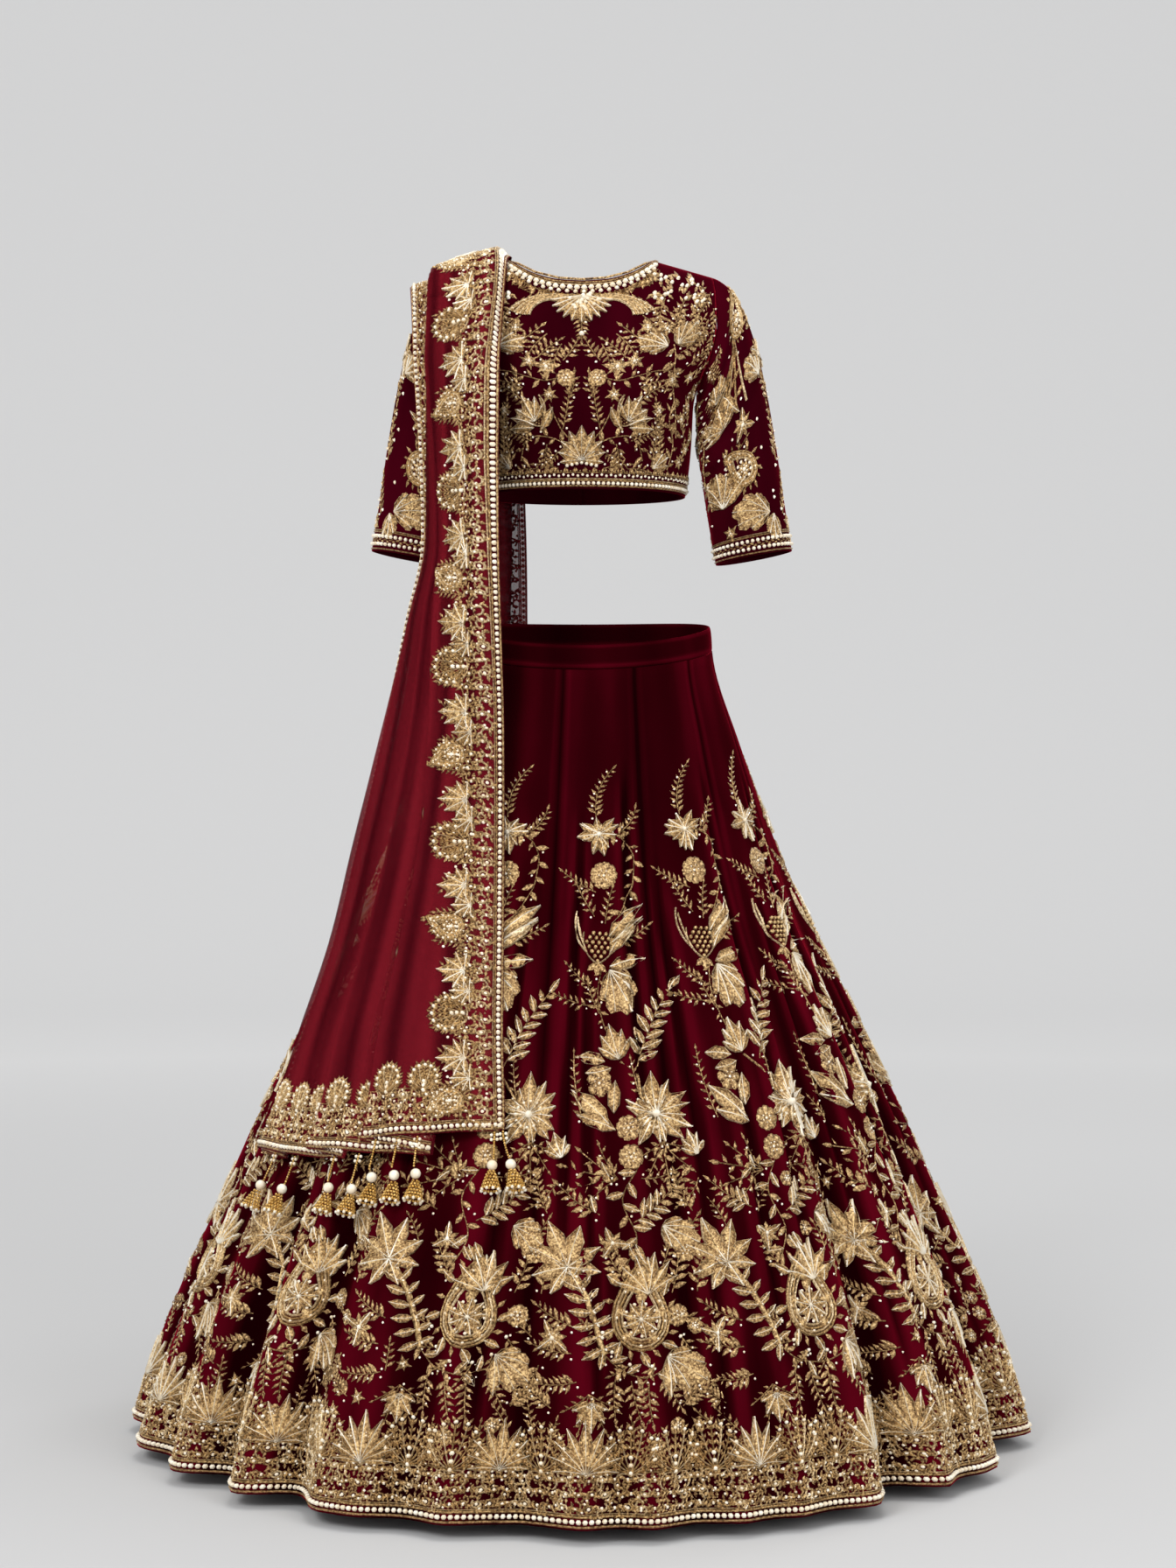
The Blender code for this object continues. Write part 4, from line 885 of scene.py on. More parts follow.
def curl(work, x, y, turn, size, side=1):
    # A paisley: nested teardrops with a bent tip round a pearled flower, with leaves on its back.
    foot = np.array([x, y])
    t = np.linspace(0, 2 * pi, 21)
    rise = 0.14 + 0.5 * np.cos(t)
    aside = 0.42 * np.sin(t) * np.abs(np.sin(t / 2)) ** 0.8 + 0.62 * np.maximum(rise, 0) ** 2
    drop = np.outer(rise, heading(turn)) + np.outer(side * aside, heading(turn + pi / 2))
    for grow, finish in ((1.0, "gold"), (0.89, "pale"), (0.78, "gold"), (0.66, "pale")):
        strand(work, foot + size * grow * drop, 0.0036, 0.0028, finish)
    for k in range(1, 20):
        back = foot + size * 1.04 * drop[k]
        angle = np.arctan2(drop[k, 0], -drop[k, 1])
        leaf(work, *back, angle - side * radians(34), size * (0.2 if k % 2 else 0.14), 0.5, 0.1, 0.0024)
        if k % 2:
            inside = foot + size * 0.84 * drop[k]
            bead(work, *inside, 0.0017)
    for k in range(9):
        angle = 2 * pi * k / 9
        leaf(work, x, y, angle, size * 0.22, 0.5, 0.1, 0.0026)
        spot = foot + heading(angle + 0.3) * size * 0.19
        bead(work, *spot, 0.0018)
    for k in range(6):
        spot = foot + heading(pi * k / 3) * size * 0.085
        bead(work, *spot, 0.0018, "pearl")
    bead(work, x, y, 0.0026)


# Which sizes of a motif are angles, given in degrees in the tables below.
degreesOf = {leaf: (0,), sprig: (0, 2), bud: (0,), lotus: (0, 3), lobedLeaf: (0,), spray: (0, 3), curl: (0,)}


def layMotifs(work, rows):
    # Each row is a motif, its place and its own sizes.
    for form, x, y, *sizes in rows:
        for slot in degreesOf.get(form, ()):
            if slot < len(sizes):
                sizes[slot] = radians(sizes[slot])
        form(work, x, y, *sizes)


def vine(work, points, leafSize=0.012, every=0.01):
    points = np.asarray(points, float)
    keys = np.concatenate([[0], np.cumsum(np.linalg.norm(np.diff(points, axis=0), axis=1))])
    fine = np.arange(0, keys[-1], every / 2)
    x = smoothThrough(keys, points[:, 0], fine)
    y = smoothThrough(keys, points[:, 1], fine)
    line = np.stack([x, y], axis=1)
    strand(work, line, 0.0016, 0.0012)
    run = np.gradient(line, axis=0)
    for k in range(1, len(line) - 1, 2):
        turn = np.arctan2(run[k, 0], -run[k, 1])
        side = 1 if k % 4 == 1 else -1
        leaf(work, x[k], y[k], turn + side * radians(50), leafSize * rng.uniform(0.8, 1.15), 0.45, 0.1 * side)
        if k % 3 == 0:
            spot = line[k] - heading(turn + side * radians(80)) * leafSize * 0.38
            bead(work, *spot, 0.0013)


def palmette(work, x, y, width, height):
    # A round feathery fan with a pearl at the tip of every frond.
    count = 9
    for k in range(count):
        share = 2 * k / (count - 1) - 1
        reach = height * (1 - 0.36 * share * share)
        turn = share * radians(88)
        line = curvePoints(x, y, turn, reach * 0.92, -share * radians(58), 6)
        strand(work, line, 0.0022, 0.003, "pale" if k % 2 else "gold")
        for j in range(2, 7):
            for side in (-1, 1):
                angle = turn - share * radians(58) * j / 6 + side * radians(34)
                leaf(work, *line[j], angle, 0.0085 + 0.0015 * (j % 2), 0.46, 0, 0.0024)
        bead(work, *line[6], 0.0022)
    for side in (-1, 1):
        sweep = curvePoints(x, y + height * 0.12, side * radians(100), width * 0.62, -side * radians(120), 7)
        strand(work, sweep, 0.0024, 0.002, "pale")
    for k in range(3):
        bead(work, x, y - height * 0.16 * k, 0.0026)


def leafFan(work, x, y, width, height):
    for step in (0, -1, 1, -2, 2, -3, 3, -4, 4):
        turn, share = 19 * step, 1.0 - 0.1 * abs(step)
        leaf(work, x, y, radians(turn), height * share, 0.25, turn / 340, 0.0028)
        rib = curvePoints(x, y, radians(turn), height * share * 0.85, 0, 3)
        strand(work, rib, 0.0008, 0.0034, "pale")
    for k in range(5):
        bead(work, x + (k - 2) * width * 0.16, y + abs(k - 2) * 0.0015, 0.0018)


def scrollFill(work, x0, x1, y0, y1, pitch=0.017):
    # Dense little scrolls, leaves and pearls between two lines.
    across = int(round((x1 - x0) / pitch))
    down = max(1, int(round((y1 - y0) / pitch)))
    for row in range(down):
        for col in range(across):
            x = x0 + (col + 0.5 + 0.25 * (row % 2)) * (x1 - x0) / across
            y = y0 + (row + 0.5) * (y1 - y0) / down
            side = 1 if (row + col) % 2 else -1
            for start in (0, pi):
                turn = start + rng.uniform(-0.5, 0.5)
                hook = curvePoints(x - side * pitch * 0.3 * cos(start), y + pitch * 0.2 * cos(start), turn,
                                   pitch * 1.5, side * radians(250), 5)
                strand(work, hook, 0.0029, 0.002, "gold" if col % 3 else "pale")
                for k in range(3):
                    lean = turn + side * radians(70 * k - 60)
                    leaf(work, *hook[2 * k], lean, pitch * 0.52, 0.56, 0, 0.0019)
            bead(work, x, y, 0.0019)
            spot = rng.uniform(-0.5, 0.5, (3, 2)) * pitch
            smallBead(work, x + spot[0, 0], y + spot[0, 1], 0.0014)
            bead(work, x + spot[1, 0], y + spot[1, 1], 0.0015)
            smallBead(work, x + spot[2, 0], y + spot[2, 1], 0.0014, "gold")


forms = {
    "leaflet": {
        "points": [(0, 0, 0.2), (0.46, -0.46, 0.12), (0.42, 0, 1), (0.46, 0.46, 0.12), (1, 0, 0.2)],
        "faces": [(0, 1, 2), (0, 2, 3), (1, 4, 2), (2, 4, 3)],
    },
    "dome": {
        "points": [(sin(k * pi / 3), cos(k * pi / 3), 0.1) for k in range(6)] + [(0, 0, 1.5)],
        "faces": [(k, (k + 1) % 6, 6) for k in range(6)],
    },
    "leaf": {
        "points": [(0, 0, 0.2), (0.3, -0.42, 0.12), (0.3, 0, 1), (0.3, 0.42, 0.12),
                   (0.64, -0.44, 0.12), (0.64, 0, 0.9), (0.64, 0.44, 0.12), (1, 0, 0.2)],
        "faces": [(0, 1, 2), (0, 2, 3), (1, 4, 5), (1, 5, 2), (2, 5, 6), (2, 6, 3), (4, 7, 5), (5, 7, 6)],
    },
    "petal": {
        "points": [(0, 0, 0.2), (0.42, -0.36, 0.12), (0.42, 0, 0.8), (0.42, 0.36, 0.12),
                   (0.8, -0.5, 0.12), (0.8, 0, 1), (0.8, 0.5, 0.12), (1, -0.26, 0.1), (1, 0.26, 0.1)],
        "faces": [(0, 1, 2), (0, 2, 3), (1, 4, 5), (1, 5, 2), (2, 5, 6), (2, 6, 3),
                  (4, 7, 5), (7, 8, 5), (5, 8, 6)],
    },
    "bead": {
        "points": [(sin(k * pi / 3), cos(k * pi / 3), 0) for k in range(6)]
        + [(0.72 * sin(k * pi / 3), 0.72 * cos(k * pi / 3), 0.95) for k in range(6)] + [(0, 0, 1.45)],
        "faces": [(k, (k + 1) % 6, 6 + (k + 1) % 6) for k in range(6)]
        + [(k, 6 + (k + 1) % 6, 6 + k) for k in range(6)] + [(6 + k, 6 + (k + 1) % 6, 12) for k in range(6)],
    },
    "smallBead": {
        "points": [(sin(k * pi / 2.5), cos(k * pi / 2.5), 0) for k in range(5)] + [(0, 0, 1.3)],
        "faces": [(k, (k + 1) % 5, 5) for k in range(5)],
    },
}


def stampForms(rows, form):
    # Every copy of a form at once, as flat x, y and height.
    rows = np.array(rows, float)
    x, y, turn, length, width, bend, lift = (rows[:, k][:, None] for k in range(7))
    shape = np.array(forms[form]["points"], float)
    t, u, h = shape[:, 0], shape[:, 1], shape[:, 2]
    away = t[None, :] * length
    aside = u[None, :] * width + bend * length * t[None, :] ** 2
    px = x + away * np.sin(turn) + aside * np.cos(turn)
    py = y - away * np.cos(turn) + aside * np.sin(turn)
    points = np.stack([px, py, h[None, :] * lift + 0 * px], axis=-1).reshape(-1, 3)
    faces = np.array(forms[form]["faces"], int)
    faces = (faces[None] + np.arange(len(rows))[:, None, None] * len(shape)).reshape(-1, 3)
    return points, faces


def stampStrands(rows):
    points, faces, start = [], [], 0
    for line, width, lift in rows:
        run = unit(np.gradient(line, axis=0))
        side = np.stack([-run[:, 1], run[:, 0]], axis=1) * width / 2
        low = np.full((len(line), 1), 0.0001)
        high = np.full((len(line), 1), lift)
        rims = ((line - side, low), (line, high), (line + side, low))
        block = np.stack([np.hstack(rim) for rim in rims], axis=1)
        points.append(block.reshape(-1, 3))
        k = np.arange(len(line) - 1) * 3 + start
        for a in (0, 1):
            faces.append(np.stack([k + a, k + a + 1, k + a + 4], axis=1))
            faces.append(np.stack([k + a, k + a + 4, k + a + 3], axis=1))
        start += 3 * len(line)
    return np.concatenate(points), np.concatenate(faces)


def layOut(work):
    # Flat points and faces of each finish in a piece of embroidery.
    made = {}
    for finish in finishOf:
        points, faces, start = [], [], 0
        for (kind, form), rows in work.items():
            if kind != finish or not rows:
                continue
            p, f = stampStrands(rows) if form == "strand" else stampForms(rows, form)
            points.append(p)
            faces.append(f + start)
            start += len(p)
        if points:
            made[finish] = (np.concatenate(points), np.concatenate(faces))
    return made


# Skirt

skirtCreases = rowsOf("place lean reach depth starts ends", (
    (0.22, 0.05, 0.075, 0.0045, 0.16, 0.74), (0.41, -0.04, 0.06, 0.003, 0.3, 0.92),
    (0.8, 0.03, 0.085, 0.005, 0.1, 0.66), (1.18, -0.06, 0.07, 0.004, 0.22, 1.0),
    (1.52, 0.02, 0.065, 0.0035, 0.42, 0.88), (1.82, 0.07, 0.09, 0.006, 0.12, 0.8),
    (2.36, -0.03, 0.07, 0.0045, 0.26, 1.0), (2.78, 0.05, 0.095, 0.006, 0.14, 0.72),
    (3.38, -0.05, 0.075, 0.0045, 0.34, 0.96), (3.86, 0.04, 0.08, 0.005, 0.18, 0.7),
    (4.4, -0.02, 0.07, 0.004, 0.28, 0.9), (4.9, 0.06, 0.08, 0.0055, 0.12, 0.62),
    (5.48, -0.04, 0.075, 0.0045, 0.3, 1.0), (6.02, 0.03, 0.085, 0.0055, 0.16, 0.68),
    (6.55, -0.05, 0.07, 0.004, 0.36, 0.94), (7.08, 0.05, 0.085, 0.005, 0.14, 0.76),
    (7.64, -0.03, 0.07, 0.0045, 0.32, 1.0), (8.16, 0.04, 0.08, 0.005, 0.2, 0.7),
    (8.7, -0.05, 0.075, 0.004, 0.28, 0.9), (9.18, 0.03, 0.085, 0.0055, 0.12, 0.64),
    (9.66, -0.04, 0.07, 0.0045, 0.34, 1.0), (10.14, 0.05, 0.08, 0.005, 0.18, 0.72),
    (10.64, -0.02, 0.075, 0.0045, 0.3, 0.86), (11.2, 0.04, 0.085, 0.0055, 0.1, 0.68),
    (11.78, -0.05, 0.07, 0.004, 0.24, 0.96),
))

skirtLook = {
    "columns": 276,
    "rows": 78,
    "wall": 0.0016,
    "creaseStrength": 2.0,
    "seamPress": 0.0013,
    "seamReach": 0.03,
}


def creaseHollow(place, fall):
    # Finer creases than the main folds, each pressed in along its own leaning line.
    depth = np.zeros(np.broadcast(place, fall).shape)
    for crease in skirtCreases:
        line = crease.place + crease.lean * (1 - fall) + 0.03 * np.sin(7 * fall + 3 * crease.place)
        away = (place - line + panels / 2) % panels - panels / 2
        lobe = np.where(np.abs(away) < crease.reach, np.cos(pi * away / (2 * crease.reach)) ** 2, 0)
        faded = 1 - smoothStep((fall - crease.ends + 0.14) / 0.14)
        grown = smoothStep((fall - crease.starts) / 0.18) * faded
        depth = depth + skirtLook["creaseStrength"] * crease.depth * lobe * grown
    toSeam = place - np.round(place)
    return depth + skirtLook["seamPress"] * np.exp(-((toSeam / skirtLook["seamReach"]) ** 2))


def rollingMean(values, reach):
    return sum(np.roll(values, step, axis=1) for step in range(-reach, reach + 1)) / (2 * reach + 1)


def skirtPaintedShading(place, fall):
    # Painted highlight on the ridges and just beside the panel seams, painted shade in the valleys and along
    # the seams, with a broad swell of lighter and darker bands round the upper skirt.
    hollow = foldHollow(place, fall) + creaseHollow(place, fall)
    broad = np.tanh((rollingMean(hollow, 7) - hollow) / 0.0075)
    fine = np.tanh((rollingMean(hollow, 2) - hollow) / 0.0011)
    toSeam = place - np.round(place)
    ridge = 0.1 * np.exp(-(((np.abs(toSeam) - 0.075) / 0.03) ** 2)) - 0.2 * np.exp(-((toSeam / 0.03) ** 2))
    sway = 0.12 * np.sin(2 * pi * place * 0.5 + 1.2) + 0.08 * np.sin(2 * pi * place * 1.75 + 0.4)
    sway = sway * (1 - fall)
    return 0.5 + 0.22 * broad + 0.24 * fine + ridge + sway


def makeSkirt():
    place = np.linspace(0, panels, skirtLook["columns"], endpoint=False)[None, :]
    fall = np.linspace(0, 1, skirtLook["rows"] + 1)[:, None]
    place, fall = np.broadcast_arrays(place, fall)
    outer = skirtSurface(place, fall)
    out = -surfaceNormal(skirtSurface, place, fall, (1e-3, 1e-3), (-np.inf, 0), (np.inf, 1))
    level = out.copy()
    level[0, :, 2] = 0
    level[-1, :, 2] = 0
    inner = outer - skirtLook["wall"] * unit(level)
    skirt = shellPiece("skirt", outer, inner, skirtVelvet, ring=True)
    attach(skirt, "root")
    setValues(skirt, "pile", np.tile(skirtPaintedShading(place, fall).ravel(), 2))
    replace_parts(skirt, *[f"skirt_panel_{number:02d}" for number in range(1, panels + 1)])


bandLook = {"columns": 160, "rows": 12, "rollDepth": 0.0016}


def makeWaistband():
    turn = np.linspace(0, 2 * pi, bandLook["columns"], endpoint=False)[None, :]
    share = np.linspace(0, 1, bandLook["rows"] + 1)[:, None]
    top = bandTopZ(turn)
    z = top - bandHeight * share + 0 * turn
    rolled = bandLook["rollDepth"] * (1 - np.sin(pi * share) ** 0.35)
    grids = []
    for inset in (-bandProud + rolled, bandWall - bandProud + 0 * rolled):
        halfWidth = table(skirtLevels[::-1], "z", "halfWidth", z) - inset
        halfDepth = table(skirtLevels[::-1], "z", "halfDepth", z) - inset
        grids.append(np.stack([halfWidth * np.sin(turn), -halfDepth * np.cos(turn), z], axis=-1))
    band = shellPiece("waistband_cloth", grids[0], grids[1], skirtVelvet, ring=True)
    # Painted highlights along the band's rolled top and bottom, with a slight swell of tone round it.
    rollShading = 0.36 + 0.42 * np.exp(-(((share - 0.86) / 0.1) ** 2))
    rollShading = rollShading + 0.34 * np.exp(-(((share - 0.05) / 0.07) ** 2))
    setValues(band, "pile", np.tile((rollShading + 0.06 * np.sin(9 * turn)).ravel(), 2))
    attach(band, "root")
    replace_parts(band, "waistband")


# Choli

choliLook = {"columns": 72, "rows": 64, "wall": 0.0016}


def choliGrid(across, side):
    along = np.linspace(0, 1, choliLook["rows"] + 1)[:, None]
    across, along = np.broadcast_arrays(np.asarray(across, float)[None, :], along)
    surface = lambda a, b: choliSurface(a, b, side)
    low, high = across.min(), across.max()
    out = surfaceNormal(surface, across, along, (1e-4, 1e-4), (low, 0), (high, 1))
    base = surface(across, along)
    row = choliLook["rows"] // 5
    out = out * np.sign(np.sum(out[row, :, :2] * base[row, :, :2]))
    out[-1, np.abs(across[-1]) >= neckline[-1].across, 1] = 0
    onSide = np.abs(np.abs(across) - 1) < 1e-9
    out[onSide & (along <= armhole[0].along), 1] = 0
    out[np.abs(across) < 1e-9, 0] = 0
    out = unit(out)
    outer = base.copy()
    inner = base - choliLook["wall"] * out
    for grid in (outer, inner):
        grid[..., 1] += side * seamGap / 2
    return outer, inner


def makeCholi():
    pieces = []
    half = np.linspace(0, 1, choliLook["columns"] // 2 + 1)
    outer, inner = choliGrid(np.concatenate([-half[:0:-1], half]), -1)
    pieces.append(shellPiece("choli_front_cloth", outer, inner, choliVelvet))
    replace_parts(pieces[-1], "choli_front")
    for name, mirror in (("choli_back_left", 1), ("choli_back_right", -1)):
        outer, inner = choliGrid(half, 1)
        for grid in (outer, inner):
            grid[..., 0] = grid[..., 0] * mirror
        pieces.append(shellPiece(name + "_cloth", outer, inner, choliVelvet))
        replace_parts(pieces[-1], name)
    for piece in pieces:
        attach(piece, "root")
        setValues(piece, "pile", np.full(len(piece.data.vertices), 0.46))


sleeveCreases = rowsOf("around along slant reach depth", (
    (0.3, 0.22, 0.3, 0.035, 0.002), (0.36, 0.34, -0.25, 0.03, 0.0016), (0.44, 0.14, 0.2, 0.04, 0.0022),
    (0.24, 0.48, 0.25, 0.028, 0.0013), (0.4, 0.6, -0.2, 0.03, 0.0014), (0.6, 0.18, -0.3, 0.035, 0.002),
    (0.68, 0.36, 0.25, 0.03, 0.0016), (0.72, 0.58, -0.2, 0.03, 0.0012),
))

sleeveLook = {"columns": 72, "rows": 60, "wall": 0.0016}


def sleeveSkin(around, along):
    # The sleeve with its soft creases pressed in.
    base = sleeveSurface(around, along)
    depth = np.zeros(base.shape[:-1])
    for crease in sleeveCreases:
        line = crease.along + crease.slant * (np.mod(around, 1) - crease.around)
        beside = (np.mod(around, 1) - crease.around) / 0.1
        near = np.exp(-(((along - line) / crease.reach) ** 2) - beside ** 2)
        depth = depth + crease.depth * near
    middle = sleeveSurface(np.array([0.0, 0.25, 0.5, 0.75])[:, None], np.ravel(along)[None, :]).mean(axis=0)
    inward = unit(middle.reshape(base.shape) - base)
    return base + inward * depth[..., None]


def sleeveNormal(around, along):
    out = surfaceNormal(sleeveSkin, around, along, (1e-3, 1e-3), (-np.inf, 0), (np.inf, 1))
    middle = sleeveSurface(np.array([0.0, 0.25, 0.5, 0.75])[:, None], np.ravel(along)[None, :]).mean(axis=0)
    away = sleeveSkin(around, along) - middle.reshape(out.shape)
    return out * np.sign(np.sum(out * away))


def makeSleeves():
    around = np.linspace(0, 1, sleeveLook["columns"], endpoint=False)[None, :]
    along = np.linspace(0, 1, sleeveLook["rows"] + 1)[:, None]
    around, along = np.broadcast_arrays(around, along)
    outer = sleeveSkin(around, along)
    inner = outer - sleeveLook["wall"] * sleeveNormal(around, along)
    for name, mirror in (("sleeve_left", 1), ("sleeve_right", -1)):
        flip = np.array([mirror, 1, 1])
        piece = shellPiece(name + "_cloth", outer * flip, inner * flip, choliVelvet, ring=True)
        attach(piece, "root")
        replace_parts(piece, name)
        # Painted shade: the colour darkens where the creases are pressed in.
        bare = sleeveSurface(around, along)
        pressed = np.linalg.norm(outer - bare, axis=-1)
        setValues(piece, "pile", np.tile((0.52 - pressed / 0.004 * 0.4).ravel(), 2))


# Dupatta

dupattaLook = {
    "cell": 0.0085,
    "foldCells": 6,
    "frontRows": 72,
    "shoulderRows": 20,
    "backRows": 68,
    "wall": 0.0008,
    "ripple": 0.003,
}


def drapeColumns():
    # Across, layer and sideways push for each column of the pleated sheet.
    across, layer, push = [], [], []
    for number, fold in enumerate(drapeFolds[:-1]):
        following = drapeFolds[number + 1]
        top = layers - 1 - number
        cells = max(4, int(round((following.across - fold.across) / dupattaLook["cell"])))
        for cell in range(cells + 1):
            across.append(fold.across + (following.across - fold.across) * cell / cells)
            layer.append(top)
            push.append(0)
        if number < layers - 1:
            outward = 1 if number % 2 == 0 else -1
            for cell in range(1, dupattaLook["foldCells"]):
                angle = pi * cell / dupattaLook["foldCells"]
                across.append(following.across)
                layer.append(top - (1 - cos(angle)) / 2)
                push.append(outward * sin(angle))
    return np.array(across), np.array(layer), np.array(push)


def drapeWave(share, stop):
    return np.sin(31 * share + 0.3 * stop) * 0.6 + np.sin(17 * share - 0.2 * stop + 1.1) * 0.4


def drapePoint(across, layer, push, stop):
    # The pleated sheet with its soft ripples, and the way out of it.
    point, share, out = drapeSheet(across, layer, push, stop)
    falling = smoothStep((np.abs(stop) - 3) / 6)
    lift = dupattaLook["ripple"] * falling * (1 + drapeWave(share, stop))
    return point + out * lift[..., None], out


def hemStops(across, end):
    hemZ = np.interp(across, column(drapeFolds, "across"), column(drapeFolds, end + "HemZ"))
    return drapeStopAt(hemZ, end)


def makeDupattaPiece(name, first, last, rows):
    across, layer, push = drapeColumns()
    stop = first + (last - first) * np.linspace(0, 1, rows + 1)[:, None]
    across, layer, push, stop = np.broadcast_arrays(across[None, :], layer[None, :], push[None, :], stop)
    middle = drapePoint(across, layer, push, stop)[0]
    out = unit(np.cross(np.gradient(middle, axis=1), np.gradient(middle, axis=0)))
    half = dupattaLook["wall"] / 2
    piece = shellPiece(name + "_net", middle + out * half, middle - out * half, redNet)
    share = drapeSheet(across, layer, push, stop)[1]
    # Painted shade and highlight in bands that follow the ripples across the net.
    pleatShade = 0.5 + 0.42 * np.cos(31 * share + 0.3 * stop) + 0.18 * np.sin(71 * share + 0.2 * stop)
    setValues(piece, "pleat", np.tile(pleatShade.ravel(), 2))
    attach(piece, "root")
    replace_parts(piece, name)


def makeDupatta():
    across = drapeColumns()[0]
    low, high = -shoulderNodeEnds + nodeSeam, shoulderNodeEnds - nodeSeam
    for name, first, last in (("front", shoulderNodeEnds + nodeSeam, hemStops(across, "front")[None, :]),
                              ("shoulder", low, np.full((1, len(across)), high)),
                              ("back", -shoulderNodeEnds - nodeSeam, hemStops(across, "back")[None, :])):
        makeDupattaPiece(f"dupatta_{name}", first, last, dupattaLook[f"{name}Rows"])


makeSkirt()
makeWaistband()
makeCholi()
makeSleeves()
makeDupatta()
print("cloth made")


def stamp(work, motif, x, y, turn=0.0, scale=1.0, flip=False):
    # Copies a finished motif to a place, turned, scaled or mirrored.
    away, aside = heading(turn) * scale, heading(turn + pi / 2) * scale
    mirror = -1 if flip else 1
    foot = np.array([x, y])
    for key, rows in motif.items():
        if key[1] == "strand":
            for line, width, lift in rows:
                line = foot + np.outer(-line[:, 1], away) + np.outer(mirror * line[:, 0], aside)
                work[key].append((line, width, lift))
        else:
            for px, py, ownTurn, length, width, bend, lift in rows:
                place = foot - py * away + mirror * px * aside
                work[key].append((*place, turn + mirror * ownTurn, length * scale, width * scale,
                                  mirror * bend, lift))


def motif(build, *sizes, **more):
    made = newWork()
    build(made, 0.0, 0.0, *sizes, **more)
    return made


def pearlLine(work, points, pitch=0.0075, radius=0.0025, finish="pearl"):
    points = np.asarray(points, float)
    keys = np.concatenate([[0], np.cumsum(np.linalg.norm(np.diff(points, axis=0), axis=1))])
    for at in np.arange(pitch / 2, keys[-1], pitch):
        bead(work, np.interp(at, keys, points[:, 0]), np.interp(at, keys, points[:, 1]), radius, finish)


def putOnCloth(name, work, frameOf, slotOf, rise=0.0):
    # Makes one piece of each finish, laid on the cloth by a function that gives points and normals.
    for finish, (points, faces) in layOut(work).items():
        at, out = frameOf(points[:, 0], points[:, 1])
        placed = at + out * (points[:, 2] + rise)[:, None]
        smooth = finish in ("pearl", "bead")
        piece = newPiece(f"{name}_{finish}", placed, faces, finishOf[finish], smooth)
        # Heights above the cloth, which the thread colour turns into painted shade low down.
        if finish != "pearl":
            setValues(piece, "height", np.sqrt(np.clip(points[:, 2] / fullHeight, 0, 1)))
        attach(piece, "root")
        slotOf[finish]


fullHeight = 0.0038
slotOfFinish = {finish: "gold_beads" if finish in ("pearl", "bead") else "gold_cord" for finish in finishOf}

# Skirt embroidery

panelLength = 1.065
widthFalls = np.linspace(0, 1, 21)


def panelWidths(panel):
    place = panel + np.linspace(0, 1, 33)[None, :]
    points = skirtSurface(np.minimum(place, panel + 1 - 1e-6), widthFalls[:, None])
    return np.linalg.norm(np.diff(points, axis=1), axis=-1).sum(axis=1)


def panelFrame(panel, widths):
    def frameOf(x, y):
        fall = np.clip(y / panelLength, 0, 1)
        place = panel + 0.5 + x / np.interp(fall, widthFalls, widths)
        at = skirtSurface(place, fall)
        out = -surfaceNormal(skirtSurface, place, fall, (2e-3, 2e-3), (-np.inf, 0), (np.inf, 1))
        return at, out
    return frameOf


def upperColumn(work):
    # Curved sprig, star flower, scalloped flower and pomegranate bud of the plain upper part.
    sprig(work, -0.004, 0.208, radians(-10), 0.072, radians(52), 9, 0.0135)
    starFlower(work, -0.001, 0.229, 0.028, 7)
    for turn, size in ((-100, 0.03), (-60, 0.026), (60, 0.026), (165, 0.03), (200, 0.026)):
        leaf(work, 0.0, 0.229, radians(turn), size, 0.42, 0.06, 0.0028)
    sprig(work, 0.018, 0.232, radians(70), 0.046, radians(-62), 6, 0.015)
    vine(work, [(0.012, 0.226), (0.034, 0.24), (0.046, 0.266), (0.045, 0.295), (0.034, 0.322),
                (0.02, 0.345)], 0.016)
    layMotifs(work, (
        (rosette, 0.005, 0.284, 0.018, 9), (sprig, -0.006, 0.306, -66, 0.05, 16, 6, 0.0135),
        (sprig, -0.008, 0.338, -34, 0.046, 10, 5, 0.0135), (sprig, 0.006, 0.348, 6, 0.046, 12, 5, 0.0135),
        (bud, -0.003, 0.376, 6, 0.05, 1), (leaf, 0.01, 0.366, 40, 0.062, 0.34, 0.16, 0.0034),
        (leaf, 0.014, 0.374, 48, 0.052, 0.24, 0.14, 0.004, "pale"),
        (sprig, 0.026, 0.374, 66, 0.044, -10, 5, 0.0145), (leaf, 0.01, 0.404, 72, 0.05, 0.4, 0.14, 0.003),
        (lobedLeaf, 0.01, 0.408, 146, 0.06),
    ))
    for x, y, turn, size in ((-0.014, 0.428, -58, 0.04), (-0.018, 0.452, -82, 0.044),
                             (-0.004, 0.462, -30, 0.042)):
        sprig(work, x, y, radians(turn), size, radians(18), 5, 0.0135)
    vine(work, [(0.0, 0.405), (-0.006, 0.44), (0.0, 0.472), (0.012, 0.5)], 0.011)


